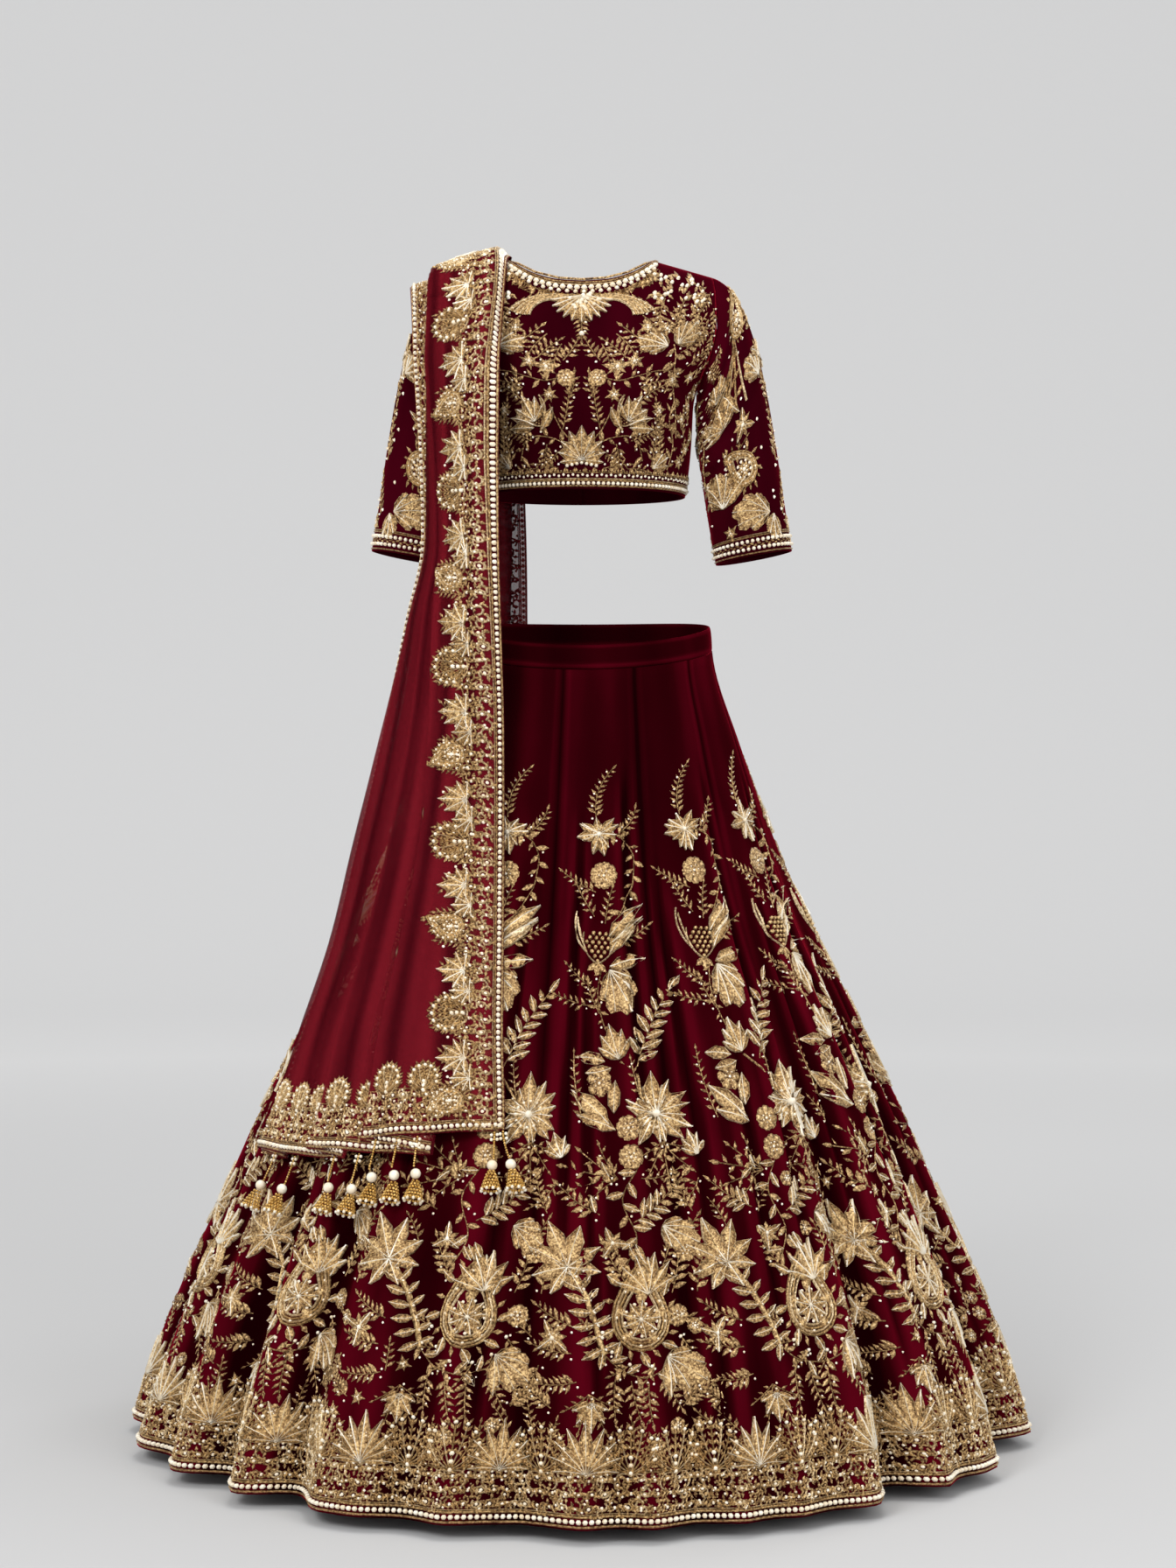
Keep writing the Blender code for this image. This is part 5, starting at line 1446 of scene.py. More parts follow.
def middleColumn(work, spread):
    # Bud flower, rose, leaves, branch and the large pearled star flower.
    layMotifs(work, (
        (lotus, 0.02, 0.52, -16, 0.046, 5, 76), (sprig, 0.046, 0.53, 14, 0.104, 22, 7, 0.03),
        (leaf, 0.002, 0.522, -70, 0.036, 0.5, -0.2), (leaf, 0.01, 0.53, -112, 0.034, 0.5, 0.2),
        (rosette, -0.006, 0.548, 0.017, 6), (leaf, 0.006, 0.6, -40, 0.062, 0.4, -0.12, 0.0028),
        (leaf, 0.014, 0.606, -62, 0.052, 0.38, -0.12, 0.0026),
        (leaf, 0.012, 0.586, -2, 0.04, 0.45, 0.1, 0.0026),
        (sprig, -0.036 * spread, 0.596, -18, 0.084, 20, 8, 0.0125),
    ))
    stem = [(0.022, 0.522), (0.046, 0.542), (0.066 * spread, 0.566), (0.082 * spread, 0.584)]
    strand(work, stem, 0.003, 0.002)
    star = (0.09 * spread, 0.588)
    starFlower(work, *star, 0.044, 9, 9)
    for turn, size in ((-10, 0.052), (20, 0.044), (70, 0.04), (110, 0.044), (160, 0.036), (-80, 0.04),
                       (-130, 0.034)):
        leaf(work, *star, radians(turn), size, 0.36, 0.08, 0.0032)
    for k in range(12):
        spot = np.array(star) + heading(radians(30 * k)) * 0.016
        bead(work, *spot, 0.0021)
    layMotifs(work, (
        (sprig, star[0] - 0.018, star[1] - 0.018, -20, 0.05, 10, 5, 0.013),
        (spray, star[0] + 0.006, star[1] + 0.034, 172, 0.05), (rosette, 0.04 * spread, 0.603, 0.0155),
        (rosette, 0.043 * spread, 0.638, 0.0155), (spray, 0.02 * spread, 0.664, -78, 0.062, 5, 80),
        (sprig, 0.058 * spread, 0.664, 100, 0.048, -40, 5),
        (lotus, -0.075 * spread, 0.64, -14, 0.032, 5, 90),
        (sprig, -0.078 * spread, 0.668, -150, 0.045, 30, 5),
    ))


def lowerColumn(work, spread):
    # Dense lower part: lily, thick stalk, large paisley curl, leafy sprays and hanging sprigs.
    vine(work, [(0.04, 0.65), (0.02, 0.69), (0.036, 0.735), (0.018, 0.775)], 0.02, 0.014)
    layMotifs(work, (
        (sprig, 0.044 * spread, 0.716, 62, 0.08, -24, 7, 0.024),
        (sprig, -0.01 * spread, 0.706, -66, 0.058, 20, 6, 0.02),
        (lobedLeaf, 0.09 * spread, 0.722, 112, 0.046), (lotus, -0.06 * spread, 0.768, -24, 0.058, 7, 230),
        (lotus, -0.06 * spread, 0.768, 150, 0.034, 3, 90),
    ))
    stalk = [(-0.054 * spread, 0.772), (-0.03 * spread, 0.804), (-0.012, 0.842), (-0.004, 0.868)]
    strand(work, stalk, 0.0075, 0.003)
    for k in range(7):
        share = k / 6
        x = np.interp(share, [0, 0.4, 1], [-0.052 * spread, -0.028 * spread, -0.006])
        y = 0.778 + 0.084 * share
        leaf(work, x, y, radians(-60 - 10 * k), 0.026, 0.4, 0.1)
        leaf(work, x, y, radians(38 + 6 * k), 0.02, 0.4, -0.1)
        bead(work, x + 0.004, y, 0.0019)
    curl(work, 0.052 * spread, 0.828, radians(-20), 0.098, 1)
    for turn in (-58, -36, -14, 8, 30, 52):
        leaf(work, 0.064 * spread, 0.8, radians(turn), 0.05 - abs(turn) * 0.0002, 0.32, turn / 300, 0.0032)
    for k in range(7):
        spot = np.array([0.056 * spread, 0.834]) + heading(radians(80 + 30 * k)) * 0.048
        bead(work, *spot, 0.002)
        sprig(work, *spot, radians(104 + 30 * k), 0.024, 0.5, 3, 0.013)
    for k in range(5):
        spot = np.array([0.052 * spread, 0.828]) + heading(radians(72 * k)) * 0.014
        petal(work, *spot, radians(72 * k), 0.017, 0.8, 0.1, 0.0028)
    layMotifs(work, (
        (sprig, 0.022, 0.786, -34, 0.052, 10, 6, 0.018),
        (sprig, 0.104 * spread, 0.8, 20, 0.06, -20, 6, 0.018),
        (lobedLeaf, 0.092 * spread, 0.872, 118, 0.054),
        (leaf, 0.092 * spread, 0.872, 170, 0.046, 0.42, 0.1, 0.003),
    ))
    outer = ((-0.052, 0.836, -74, 0.048), (-0.056, 0.866, -92, 0.046), (-0.048, 0.898, -108, 0.044),
             (-0.094, 0.706, -30, 0.046), (-0.104, 0.8, 10, 0.06), (-0.108, 0.882, -160, 0.044),
             (-0.088, 0.93, -60, 0.036), (0.116, 0.76, 12, 0.05), (0.118, 0.93, 40, 0.04))
    for x, y, turn, size in outer:
        sprig(work, x * spread, y, radians(turn), size, radians(22), 6, 0.0165)
    vine(work, [(-0.01, 0.862), (0.02, 0.888), (0.056 * spread, 0.894), (0.098 * spread, 0.882)],
         0.018, 0.012)
    for x, y, turn in ((0.012, 0.894, 188), (0.036, 0.898, 174), (0.062, 0.9, 182), (0.088, 0.892, 160)):
        sprig(work, x * spread, y, radians(turn), 0.044, radians(-14), 5, 0.0165)
    layMotifs(work, (
        (lotus, -0.02, 0.922, 180, 0.034, 5, 120), (spray, -0.022, 0.912, 176, 0.046, 4, 100),
        (starFlower, -0.086 * spread, 0.85, 0.022, 7, 6), (starFlower, 0.01 * spread, 0.74, 0.02, 6, 6),
        (rosette, 0.112 * spread, 0.826, 0.013), (rosette, -0.112 * spread, 0.752, 0.013),
    ))


fillLook = {"from": 0.59, "to": 0.985, "pitchAcross": 0.024, "pitchDown": 0.021, "room": 0.0135}


def fillGaps(work, widths):
    # Small sprigs, starlets and rosettes where the lower cloth would be bare.
    taken = [(row[0] + 0.5 * row[3] * sin(row[2]), row[1] - 0.5 * row[3] * cos(row[2]))
             for key, rows in work.items() if key[1] != "strand" for row in rows]
    taken = np.array(taken)
    for y in np.arange(fillLook["from"], fillLook["to"], fillLook["pitchDown"]):
        half = float(np.interp(y / panelLength, widthFalls, widths)) / 2 - 0.01
        for x in np.arange(-half, half, fillLook["pitchAcross"]):
            spot = np.array([x, y]) + rng.uniform(-0.006, 0.006, 2)
            wanted = rng.random() < (y - 0.48) / 0.42
            kind = rng.integers(0, 5)
            turn = rng.uniform(-0.9, 0.9)
            if not wanted or np.min(np.hypot(*(taken - spot).T)) < fillLook["room"]:
                continue
            if kind < 3:
                sprig(work, spot[0], spot[1] + 0.012, turn, 0.032, rng.uniform(-0.5, 0.5), 4, 0.0125)
            elif kind == 3:
                starFlower(work, *spot, 0.0115, 6, 3)
            else:
                rosette(work, *spot, 0.0095, 6)
            taken = np.vstack([taken, spot, spot - heading(turn) * 0.012])


def hemBorder(work, width):
    # Palmettes and leaf fans over dense scrolls, with a pearl row between gold bands at the edge.
    count = max(4, int(round(width / 0.052)))
    pitch = width / count
    edge = np.linspace(-width / 2, width / 2, 40) * 1.016
    fan, leafy = motif(palmette, 0.05, 0.056), motif(leafFan, 0.05, 0.058)
    for k in range(count):
        x = (k + 0.5) * pitch - width / 2
        stamp(work, leafy if k % 3 == 1 else fan, x, 1.002, 0.0, rng.uniform(0.94, 1.06), k % 2 == 0)
        sprig(work, x + pitch / 2, 1.0, 0.0, 0.03, radians(20), 4, 0.01)
        for side in (-1, 1):
            hook = curvePoints(x, 1.006, radians(40 * side), 0.036, side * radians(200), 9)
            strand(work, hook, 0.0024, 0.0024, "pale")
            leaf(work, *hook[5], radians(110 * side), 0.012, 0.5)
    scrollFill(work, edge[0], edge[-1], 1.001, 1.049, 0.015)
    for y, thick, finish in ((1.0, 0.002, "gold"), (1.05, 0.0034, "gold"), (1.0616, 0.003, "gold"),
                             (1.0475, 0.0016, "pale")):
        strand(work, np.stack([edge, y + 0 * edge], axis=1), thick, 0.002, finish)
    pearlLine(work, [(edge[0], 1.0558), (edge[-1], 1.0558)], 0.0074, 0.0028)
    for k in range(int(width / 0.005)):
        smallBead(work, (k + 0.5) * 0.005 - width / 2, 1.044 + rng.uniform(-0.001, 0.001), 0.0016, "pale")


def embroiderSkirt():
    for panel in range(panels):
        widths = panelWidths(panel)
        spread = float(np.clip(np.interp(0.75, widthFalls, widths) / 0.245, 0.7, 1.25))
        work = newWork()
        upperColumn(work)
        middleColumn(work, spread)
        lowerColumn(work, spread)
        fillGaps(work, widths)
        frameOf = panelFrame(panel, widths)
        hemWidth = float(np.interp(0.97, widthFalls, widths))
        hemBorder(work, hemWidth)
        putOnCloth(f"skirt_embroidery_{panel + 1:02d}", work, frameOf, slotOfFinish)


# Choli embroidery: x runs round the body from the centre, y is the height above the hem, counted down

chestReach = 0.14


def choliFrame(side):
    def pointAt(x, y):
        return chestPoint(x / chestReach, choliHemZ - y, side)

    def frameOf(x, y):
        out = surfaceNormal(pointAt, x, y, (1e-3, 1e-3))
        at = pointAt(x, y)
        out = out * np.sign(np.sum(out[:, 1:2] * side, axis=1, keepdims=True))
        at[:, 1] += side * seamGap / 2
        return at, out
    return frameOf


def neckPoints(side, drop):
    across = np.linspace(-neckline[-1].across, neckline[-1].across, 41)
    x = np.sign(across) * table(neckline, "across", "x", np.abs(across))
    neckZ = frontNeckZ if side < 0 else backNeckZ
    z = neckZ + (neckPointZ - neckZ) * table(neckline, "across", "lift", np.abs(across))
    turn = turnAt(x, z)
    return np.stack([turn * chestReach, choliHemZ - z + drop * np.cos(0.9 * turn)], axis=1)


def choliHemBand(work):
    edge = np.linspace(-0.5 * pi, 0.5 * pi, 60) * chestReach * 0.995
    for drop, thick, finish in ((-0.004, 0.0024, "gold"), (-0.0108, 0.0024, "gold"), (-0.0128, 0.002, "pale"),
                                (-0.0205, 0.0016, "gold")):
        strand(work, np.stack([edge, drop + 0 * edge], axis=1), thick, 0.0018, finish)
    pearlLine(work, [(edge[0], -0.0074), (edge[-1], -0.0074)], 0.0066, 0.0023)
    for k in range(int((edge[-1] - edge[0]) / 0.0062)):
        x = edge[0] + (k + 0.5) * 0.0062
        bead(work, x, -0.0166 - 0.0014 * (k % 2), 0.0016)
        leaf(work, x, -0.0195, radians(20 if k % 2 else -20), 0.0085, 0.45)
        smallBead(work, x + 0.003, -0.0225, 0.0014)


def neckBand(work, side):
    for drop, thick, finish in ((0.003, 0.0022, "gold"), (0.0062, 0.002, "pale"), (0.0215, 0.0014, "gold")):
        strand(work, neckPoints(side, drop), thick, 0.0018, finish)
    pearlLine(work, neckPoints(side, 0.0098), 0.0068, 0.0026)
    pearlLine(work, neckPoints(side, 0.0156), 0.008, 0.002)
    line = neckPoints(side, 0.019)
    for k in range(1, len(line) - 1):
        leaf(work, *line[k], pi + rng.uniform(-0.6, 0.6), rng.uniform(0.01, 0.015), 0.42)
        smallBead(work, line[k][0], line[k][1] - 0.006, 0.0014)
        hook = curvePoints(*line[k], rng.uniform(2.2, 4.0), 0.014, rng.choice([-1, 1]) * 2.6, 5)
        strand(work, hook, 0.0015, 0.0018)


def wing(work, side):
    # A curved wing of long leaves that sweeps from the centre of the neckline.
    for k in range(9):
        share = k / 8
        foot = (side * (0.012 + 0.01 * share), -0.246 + 0.004 * share)
        line = curvePoints(*foot, side * radians(72 + 4 * share), 0.066 - 0.026 * share,
                           side * radians(66 + 30 * share), 9)
        strand(work, line, 0.0034, 0.0024, "gold" if k % 2 else "pale")
    rim = curvePoints(side * 0.01, -0.251, side * radians(70), 0.078, side * radians(84), 10)
    for k in range(2, 11):
        leaf(work, *rim[k], side * radians(150), 0.01, 0.45)
        bead(work, rim[k][0], rim[k][1] + 0.005, 0.0013)


def frontHalf(work):
    # One half of the choli's front, mirrored for the other.
    for k in range(30):
        x, y = rng.uniform(0.07, 0.138), rng.uniform(-0.288, -0.244)
        if -y > 0.292 - 0.28 * (x - 0.07):
            continue
        bead(work, x, y, 0.0022)
        leaf(work, x, y, rng.uniform(0, 2 * pi), 0.013, 0.45)
        leaf(work, x, y, rng.uniform(0, 2 * pi), 0.011, 0.45)
    for x, y, turn, size in ((0.084, -0.246, 200, 0.038), (0.104, -0.24, 186, 0.036),
                             (0.124, -0.236, 176, 0.04)):
        sprig(work, x, y, radians(turn), size, radians(-24), 5, 0.014)
    layMotifs(work, (
        (sprig, 0.118, -0.222, 38, 0.05, -36, 6, 0.015), (sprig, 0.096, -0.2, 8, 0.052, 16, 6, 0.016),
        (lobedLeaf, 0.104, -0.186, 30, 0.04), (lobedLeaf, 0.092, -0.182, -70, 0.036, -1),
        (sprig, 0.112, -0.176, 60, 0.052, -40, 6, 0.016), (sprig, 0.084, -0.176, -66, 0.052, 20, 6, 0.015),
    ))
    vine(work, [(0.1, -0.186), (0.112, -0.16), (0.126, -0.132), (0.136, -0.1), (0.14, -0.064)], 0.017)
    vine(work, [(0.026, -0.137), (0.044, -0.134), (0.066, -0.14), (0.094, -0.15), (0.116, -0.152)], 0.013)
    layMotifs(work, (
        (rosette, 0.0185, -0.137, 0.0115), (starFlower, 0.04, -0.152, 0.018, 7),
        (starFlower, 0.058, -0.16, 0.015, 6), (sprig, 0.048, -0.164, -44, 0.034, -8, 5, 0.012),
        (sprig, 0.062, -0.17, 20, 0.034, 10, 5, 0.012), (lotus, 0.058, -0.084, 30, 0.036, 5, 100),
        (bud, 0.056, -0.088, 34, 0.026, 1), (leaf, 0.05, -0.074, -34, 0.03, 0.42, 0.1, 0.003),
        (leaf, 0.06, -0.076, 84, 0.034, 0.42, 0.1, 0.003), (sprig, 0.07, -0.106, 50, 0.046, 12, 6, 0.014),
        (starFlower, 0.04, -0.116, 0.013, 7), (sprig, 0.023, -0.074, -14, 0.046, 8, 6, 0.013),
    ))
    strand(work, [(0.04, -0.104), (0.034, -0.09), (0.026, -0.074), (0.016, -0.062)], 0.0018, 0.0014)
    vine(work, [(0.012, -0.048), (0.034, -0.062), (0.058, -0.066), (0.076, -0.054), (0.082, -0.034)], 0.014)
    layMotifs(work, (
        (sprig, 0.044, -0.056, 164, 0.03, 16, 5, 0.013), (sprig, 0.064, -0.06, 64, 0.032, 10, 5, 0.013),
        (sprig, 0.03, -0.046, 140, 0.02, 0, 4, 0.009), (sprig, 0.096, -0.03, 8, 0.056, 14, 7, 0.016),
        (sprig, 0.112, -0.032, -16, 0.05, 24, 6, 0.016), (lobedLeaf, 0.098, -0.028, 52, 0.03),
    ))
    vine(work, [(0.126, -0.028), (0.134, -0.06), (0.124, -0.09), (0.134, -0.118)], 0.016)
    for x, y, turn in ((0.15, -0.262, 200), (0.158, -0.24, 170), (0.146, -0.218, 190), (0.16, -0.205, 176)):
        sprig(work, x, y, radians(turn), 0.034, radians(20), 5, 0.013)
    for x, y, turn in ((0.02, -0.182, 150), (0.034, -0.196, 130), (0.07, -0.19, 40), (0.014, -0.112, -20),
                       (0.03, -0.026, 70), (0.06, -0.026, 84), (0.09, -0.116, -30), (0.112, -0.122, 20),
                       (0.108, -0.08, -26), (0.092, -0.068, 30), (0.02, -0.16, -40), (0.078, -0.228, 160),
                       (0.06, -0.222, 130), (0.126, -0.2, 20), (0.134, -0.16, 30), (0.074, -0.126, 60)):
        sprig(work, x, y, radians(turn), 0.03, radians(18), 4, 0.0135)
    for x, y in ((0.104, -0.1), (0.08, -0.09), (0.12, -0.14), (0.088, -0.206), (0.066, -0.206)):
        starFlower(work, x, y, 0.013, 6, 4)
    for k in range(7):
        starFlower(work, 0.15 + 0.018 * (k % 3), -0.04 - 0.018 * k, 0.012, 6)
        sprig(work, 0.16 + 0.014 * (k % 2), -0.036 - 0.018 * k, rng.uniform(-0.6, 0.6), 0.03, 0.3, 4, 0.012)


def mirrored(build):
    half, work = newWork(), newWork()
    build(half)
    stamp(work, half, 0, 0)
    stamp(work, half, 0, 0, flip=True)
    return work


def embroiderCholi():
    front = mirrored(frontHalf)
    choliHemBand(front)
    neckBand(front, -1)
    for side in (-1, 1):
        wing(front, side)
    for k in range(26):
        angle, reach = rng.uniform(0, 2 * pi), rng.uniform(0, 0.017)
        bead(front, reach * sin(angle) * 1.2, -0.24 + reach * cos(angle) * 0.8, 0.0022)
    for turn in range(-80, 81, 16):
        leaf(front, 0.0, -0.246, pi + radians(turn), 0.036 - abs(turn) * 0.00008, 0.3, 0, 0.0026)
    sprig(front, 0.0, -0.224, pi, 0.036, 0, 6, 0.012)
    bead(front, 0.0, -0.196, 0.0026)
    lotus(front, 0.0, -0.036, 0.0, 0.042, 9, radians(176))
    lotus(front, 0.0, -0.036, 0.0, 0.026, 7, radians(150))
    for k in range(7):
        bead(front, (k - 3) * 0.0062, -0.033 + abs(k - 3) * 0.0012, 0.0022)
    putOnCloth("choli_front_embroidery", front, choliFrame(-1), slotOfFinish)
    back = mirrored(frontHalf)
    choliHemBand(back)
    neckBand(back, 1)
    putOnCloth("choli_back_embroidery", back, choliFrame(1), slotOfFinish)


# Sleeve embroidery: x runs round the arm from its front, y along it from the armhole

sleeveLength, sleeveRound = 0.33, 0.33


def sleeveFrame(mirror):
    flip = np.array([mirror, 1, 1])

    def frameOf(x, y):
        around, along = 0.22 + x / sleeveRound, np.clip(y / sleeveLength, 0, 1)
        base = sleeveSkin(around[:, None], along[:, None])[:, 0]
        out = unit(np.cross(sleeveSkin(around[:, None] + 2e-3, along[:, None])[:, 0] - base,
                            sleeveSkin(around[:, None], np.minimum(along, 0.998)[:, None] + 2e-3)[:, 0]
                            - sleeveSkin(around[:, None], np.minimum(along, 0.998)[:, None])[:, 0]))
        return base * flip, out * flip
    return frameOf


def sleeveDesign(work, shift):
    # One side of the sleeve: paisley, long feathers, scrolls, leaf fans and starlets.
    curl(work, shift - 0.034, 0.06, radians(-40), 0.056, -1)
    for k in range(6):
        share = k / 5
        line = curvePoints(-0.022 + 0.016 * share + shift, 0.05 + 0.006 * k, radians(158 - 6 * k), 0.105,
                           radians(30 - 6 * k), 9)
        strand(work, line, 0.0038, 0.0026, "gold" if k % 2 else "pale")
        for j in (3, 5, 7):
            leaf(work, *line[j], radians(120 + 12 * k), 0.017, 0.42)
    layMotifs(work, (
        (sprig, shift + 0.036, 0.02, 176, 0.05, 20, 6, 0.016),
        (sprig, shift + 0.048, 0.07, 190, 0.062, -20, 7, 0.018),
        (starFlower, shift - 0.056, 0.128, 0.022, 8), (lobedLeaf, shift - 0.04, 0.142, 30, 0.036),
        (sprig, shift - 0.058, 0.176, 10, 0.048, 18, 6, 0.015), (starFlower, shift + 0.004, 0.176, 0.02, 7),
        (lotus, shift + 0.034, 0.16, 20, 0.04, 6, 130), (curl, shift + 0.01, 0.226, 20, 0.054, 1),
    ))
    vine(work, [(shift - 0.004, 0.19), (shift + 0.012, 0.2), (shift + 0.03, 0.214), (shift + 0.034, 0.24)],
         0.013)
    layMotifs(work, (
        (sprig, shift - 0.05, 0.232, -8, 0.05, 14, 6, 0.016), (lobedLeaf, shift + 0.046, 0.262, 0, 0.05),
        (leaf, shift + 0.044, 0.262, -46, 0.046, 0.4, -0.1, 0.003),
        (lobedLeaf, shift - 0.018, 0.282, 72, 0.052), (lobedLeaf, shift - 0.024, 0.284, 170, 0.03),
    ))
    sprig(work, shift - 0.046, 0.286, radians(-30), 0.04, 0.3, 5, 0.014)
    for x, y in ((0.04, 0.296), (-0.058, 0.296), (0.066, 0.22), (-0.068, 0.06), (0.06, 0.13)):
        starFlower(work, x + shift, y, 0.013, 6, 3)
    layMotifs(work, (
        (sprig, shift + 0.006, 0.03, 120, 0.04, 30, 5, 0.015),
        (sprig, shift - 0.062, 0.1, 16, 0.05, -20, 6, 0.016), (lobedLeaf, shift + 0.04, 0.11, -30, 0.034),
        (leaf, shift + 0.03, 0.112, 196, 0.05, 0.36, 0.2, 0.003),
    ))
    vine(work, [(shift + 0.068, 0.05), (shift + 0.074, 0.1), (shift + 0.064, 0.15), (shift + 0.072, 0.2),
                (shift + 0.066, 0.26)], 0.014)
    for k in range(46):
        bead(work, rng.uniform(-0.078, 0.078) + shift, rng.uniform(0.02, 0.3), 0.0017)


def embroiderSleeves():
    for name, mirror in (("left", 1), ("right", -1)):
        work = newWork()
        sleeveDesign(work, 0.0)
        sleeveDesign(work, 0.168)
        half = sleeveRound / 2
        for y, thick, finish in ((0.306, 0.002, "gold"), (0.327, 0.0022, "gold"), (0.304, 0.0014, "pale")):
            strand(work, [(x, y) for x in np.linspace(-half, half, 49)], thick, 0.0018, finish)
        pearlLine(work, [(-half, 0.3112), (half, 0.3112)], 0.0072, 0.0023)
        pearlLine(work, [(-half, 0.3208), (half, 0.3208)], 0.0072, 0.0023)
        for k in range(66):
            leaf(work, (k - 33) * 0.005, 0.316, radians(70 if k % 2 else 110), 0.007, 0.5)
        putOnCloth(f"sleeve_{name}_embroidery", work, sleeveFrame(mirror), slotOfFinish)


# Dupatta embroidery: x is the place across the sheet, y the way along it from the front hem

def faceLengths(across):
    # Stops and arc lengths along the sheet at one place across it.
    last = np.ravel(hemStops(np.array([across]), "front"))[0]
    first = np.ravel(hemStops(np.array([across]), "back"))[0]
    stops = np.linspace(last, first, 400)
    face = faceOf(np.array([across]))[0]
    flat = np.full(stops.shape, across)
    points = drapePoint(flat, np.full(stops.shape, layers - 1.0 - face), 0 * stops, stops)[0]
    return stops, np.concatenate([[0], np.cumsum(np.linalg.norm(np.diff(points, axis=0), axis=1))])


def faceOf(across):
    places = column(drapeFolds, "across")
    return np.clip(np.searchsorted(places, across, side="right") - 1, 0, layers - 1)


def dupattaFrame(face, fromBack=False, trueWidth=False):
    # With true width, the border keeps its own breadth where the pleats draw together.
    places = column(drapeFolds, "across")
    low, high = places[face] + 0.0005, places[face + 1] - 0.0005
    stops, lengths = faceLengths((low + high) / 2)
    layerHeights = np.full(stops.shape, layers - 1.0 - face)
    ends = [drapePoint(np.full(stops.shape, place), layerHeights, 0 * stops, stops)[0]
            for place in (low, high)]
    widening = (high - low) / np.linalg.norm(ends[1] - ends[0], axis=1)
    widening = np.clip(widening, 1, 2.1)
    if fromBack:
        stops, lengths, widening = stops[::-1], lengths[-1] - lengths[::-1], widening[::-1]
    way = "back" if fromBack else "front"

    def frameOf(x, y):
        grown = np.interp(y, lengths, widening) if trueWidth else 1
        across = np.clip(low + (x - low) * grown, low, high)
        middleHem = np.ravel(hemStops(np.full(1, (low + high) / 2), way))[0]
        ownHem = hemStops(across, way)
        along = np.interp(y, lengths, stops)
        fade = np.exp(-np.maximum(y, 0) / 0.25)
        stop = along + (ownHem - middleHem) * fade
        layer = np.full(across.shape, layers - 1.0 - face)
        at, out = drapePoint(across, layer, 0 * across, stop)
        return at, out
    return frameOf, lengths[-1]


def faceRange(face):
    places = column(drapeFolds, "across")
    return places[face] + 0.001, places[face + 1] - 0.001


borderLook = {"pearlPitch": 0.0076, "pearlRadius": 0.0027, "unit": 0.112, "breadth": 0.078}
borderCords = ((0.0022, 0.003, "gold"), (0.011, 0.0024, "gold"), (0.0135, 0.0016, "pale"))


def sideBorder(work, length):
    # The wide border along one long edge: a pearl row between cords, scrolls, then a scalloped edge.
    run = np.arange(0, length, 0.01)
    for x, thick, finish in borderCords + ((0.05, 0.0016, "gold"),):
        wavy = 0.003 * np.sin(2 * pi * run / borderLook["unit"]) if x > 0.04 else 0
        strand(work, np.stack([x + wavy + 0 * run, run], axis=1), thick, 0.0018, finish)
    pearlLine(work, [(0.0066, 0.002), (0.0066, length)], borderLook["pearlPitch"], borderLook["pearlRadius"])
    scrollFill(work, 0.0135, 0.05, 0.0, length, 0.017)
    fan = motif(palmette, 0.046, 0.04)
    paisley = motif(curl, 0.0, 0.044, 1)
    flower = motif(lotus, 0.0, 0.034, 7, radians(170))
    twig = motif(sprig, 0.0, 0.034, 0.3, 5, 0.013)
    units = int(length / borderLook["unit"])
    aim = radians(90)
    for number in range(units + 1):
        y = (number + 0.35) * length / (units + 0.7)
        if number % 2:
            stamp(work, fan, 0.048, y, aim, 1.0)
        else:
            stamp(work, paisley, 0.064, y, aim, 1.0, number % 4 == 0)
            stamp(work, fan, 0.058, y, aim, 0.72)
        stamp(work, flower, 0.046, y + 0.054, aim + rng.uniform(-0.2, 0.2), 1.0)
        stamp(work, flower, 0.04, y + 0.028, aim, 0.7)
        for shift, lean in ((0.024, -0.3), (0.04, 0.5), (0.072, -0.5), (0.088, 0.3)):
            stamp(work, twig, 0.044, y + shift, aim + lean, rng.uniform(0.9, 1.15), shift > 0.05)
        for k in range(10):
            bead(work, rng.uniform(0.044, 0.074), y + rng.uniform(0, 0.11), 0.0016)


def hemDesign(work, low, high, corner=0.0, hidden=False):
    # The hem's border on one pleat: a pearl row between cords, scrolls and small flowers.
    # A pleat that lies behind another is finished plainly, with the cords and pearls alone.
    width = high - low
    across = np.linspace(low, high, max(4, int(width / 0.008)))
    for y, thick, finish in ((0.003, 0.003, "gold"), (0.012, 0.0024, "gold"), (0.0145, 0.0016, "pale"),
                             (0.056, 0.0016, "gold")):
        strand(work, np.stack([across, y + 0 * across], axis=1), thick, 0.0018, finish)
    pearlLine(work, [(low, 0.0076), (high, 0.0076)], 0.0076, 0.0026)
    if hidden:
        return
    low, width = low + corner, width - corner
    fan = motif(palmette, 0.04, 0.034)
    scrollFill(work, low, high, 0.015, 0.056, 0.0155)
    number = max(1, int(round(width / 0.05)))
    for k in range(number):
        x = low + (k + 0.5) * width / number
        stamp(work, fan, x, 0.054, pi, min(1.0, width / 0.05), k % 2 == 0)
        bead(work, x, 0.062, 0.0018)


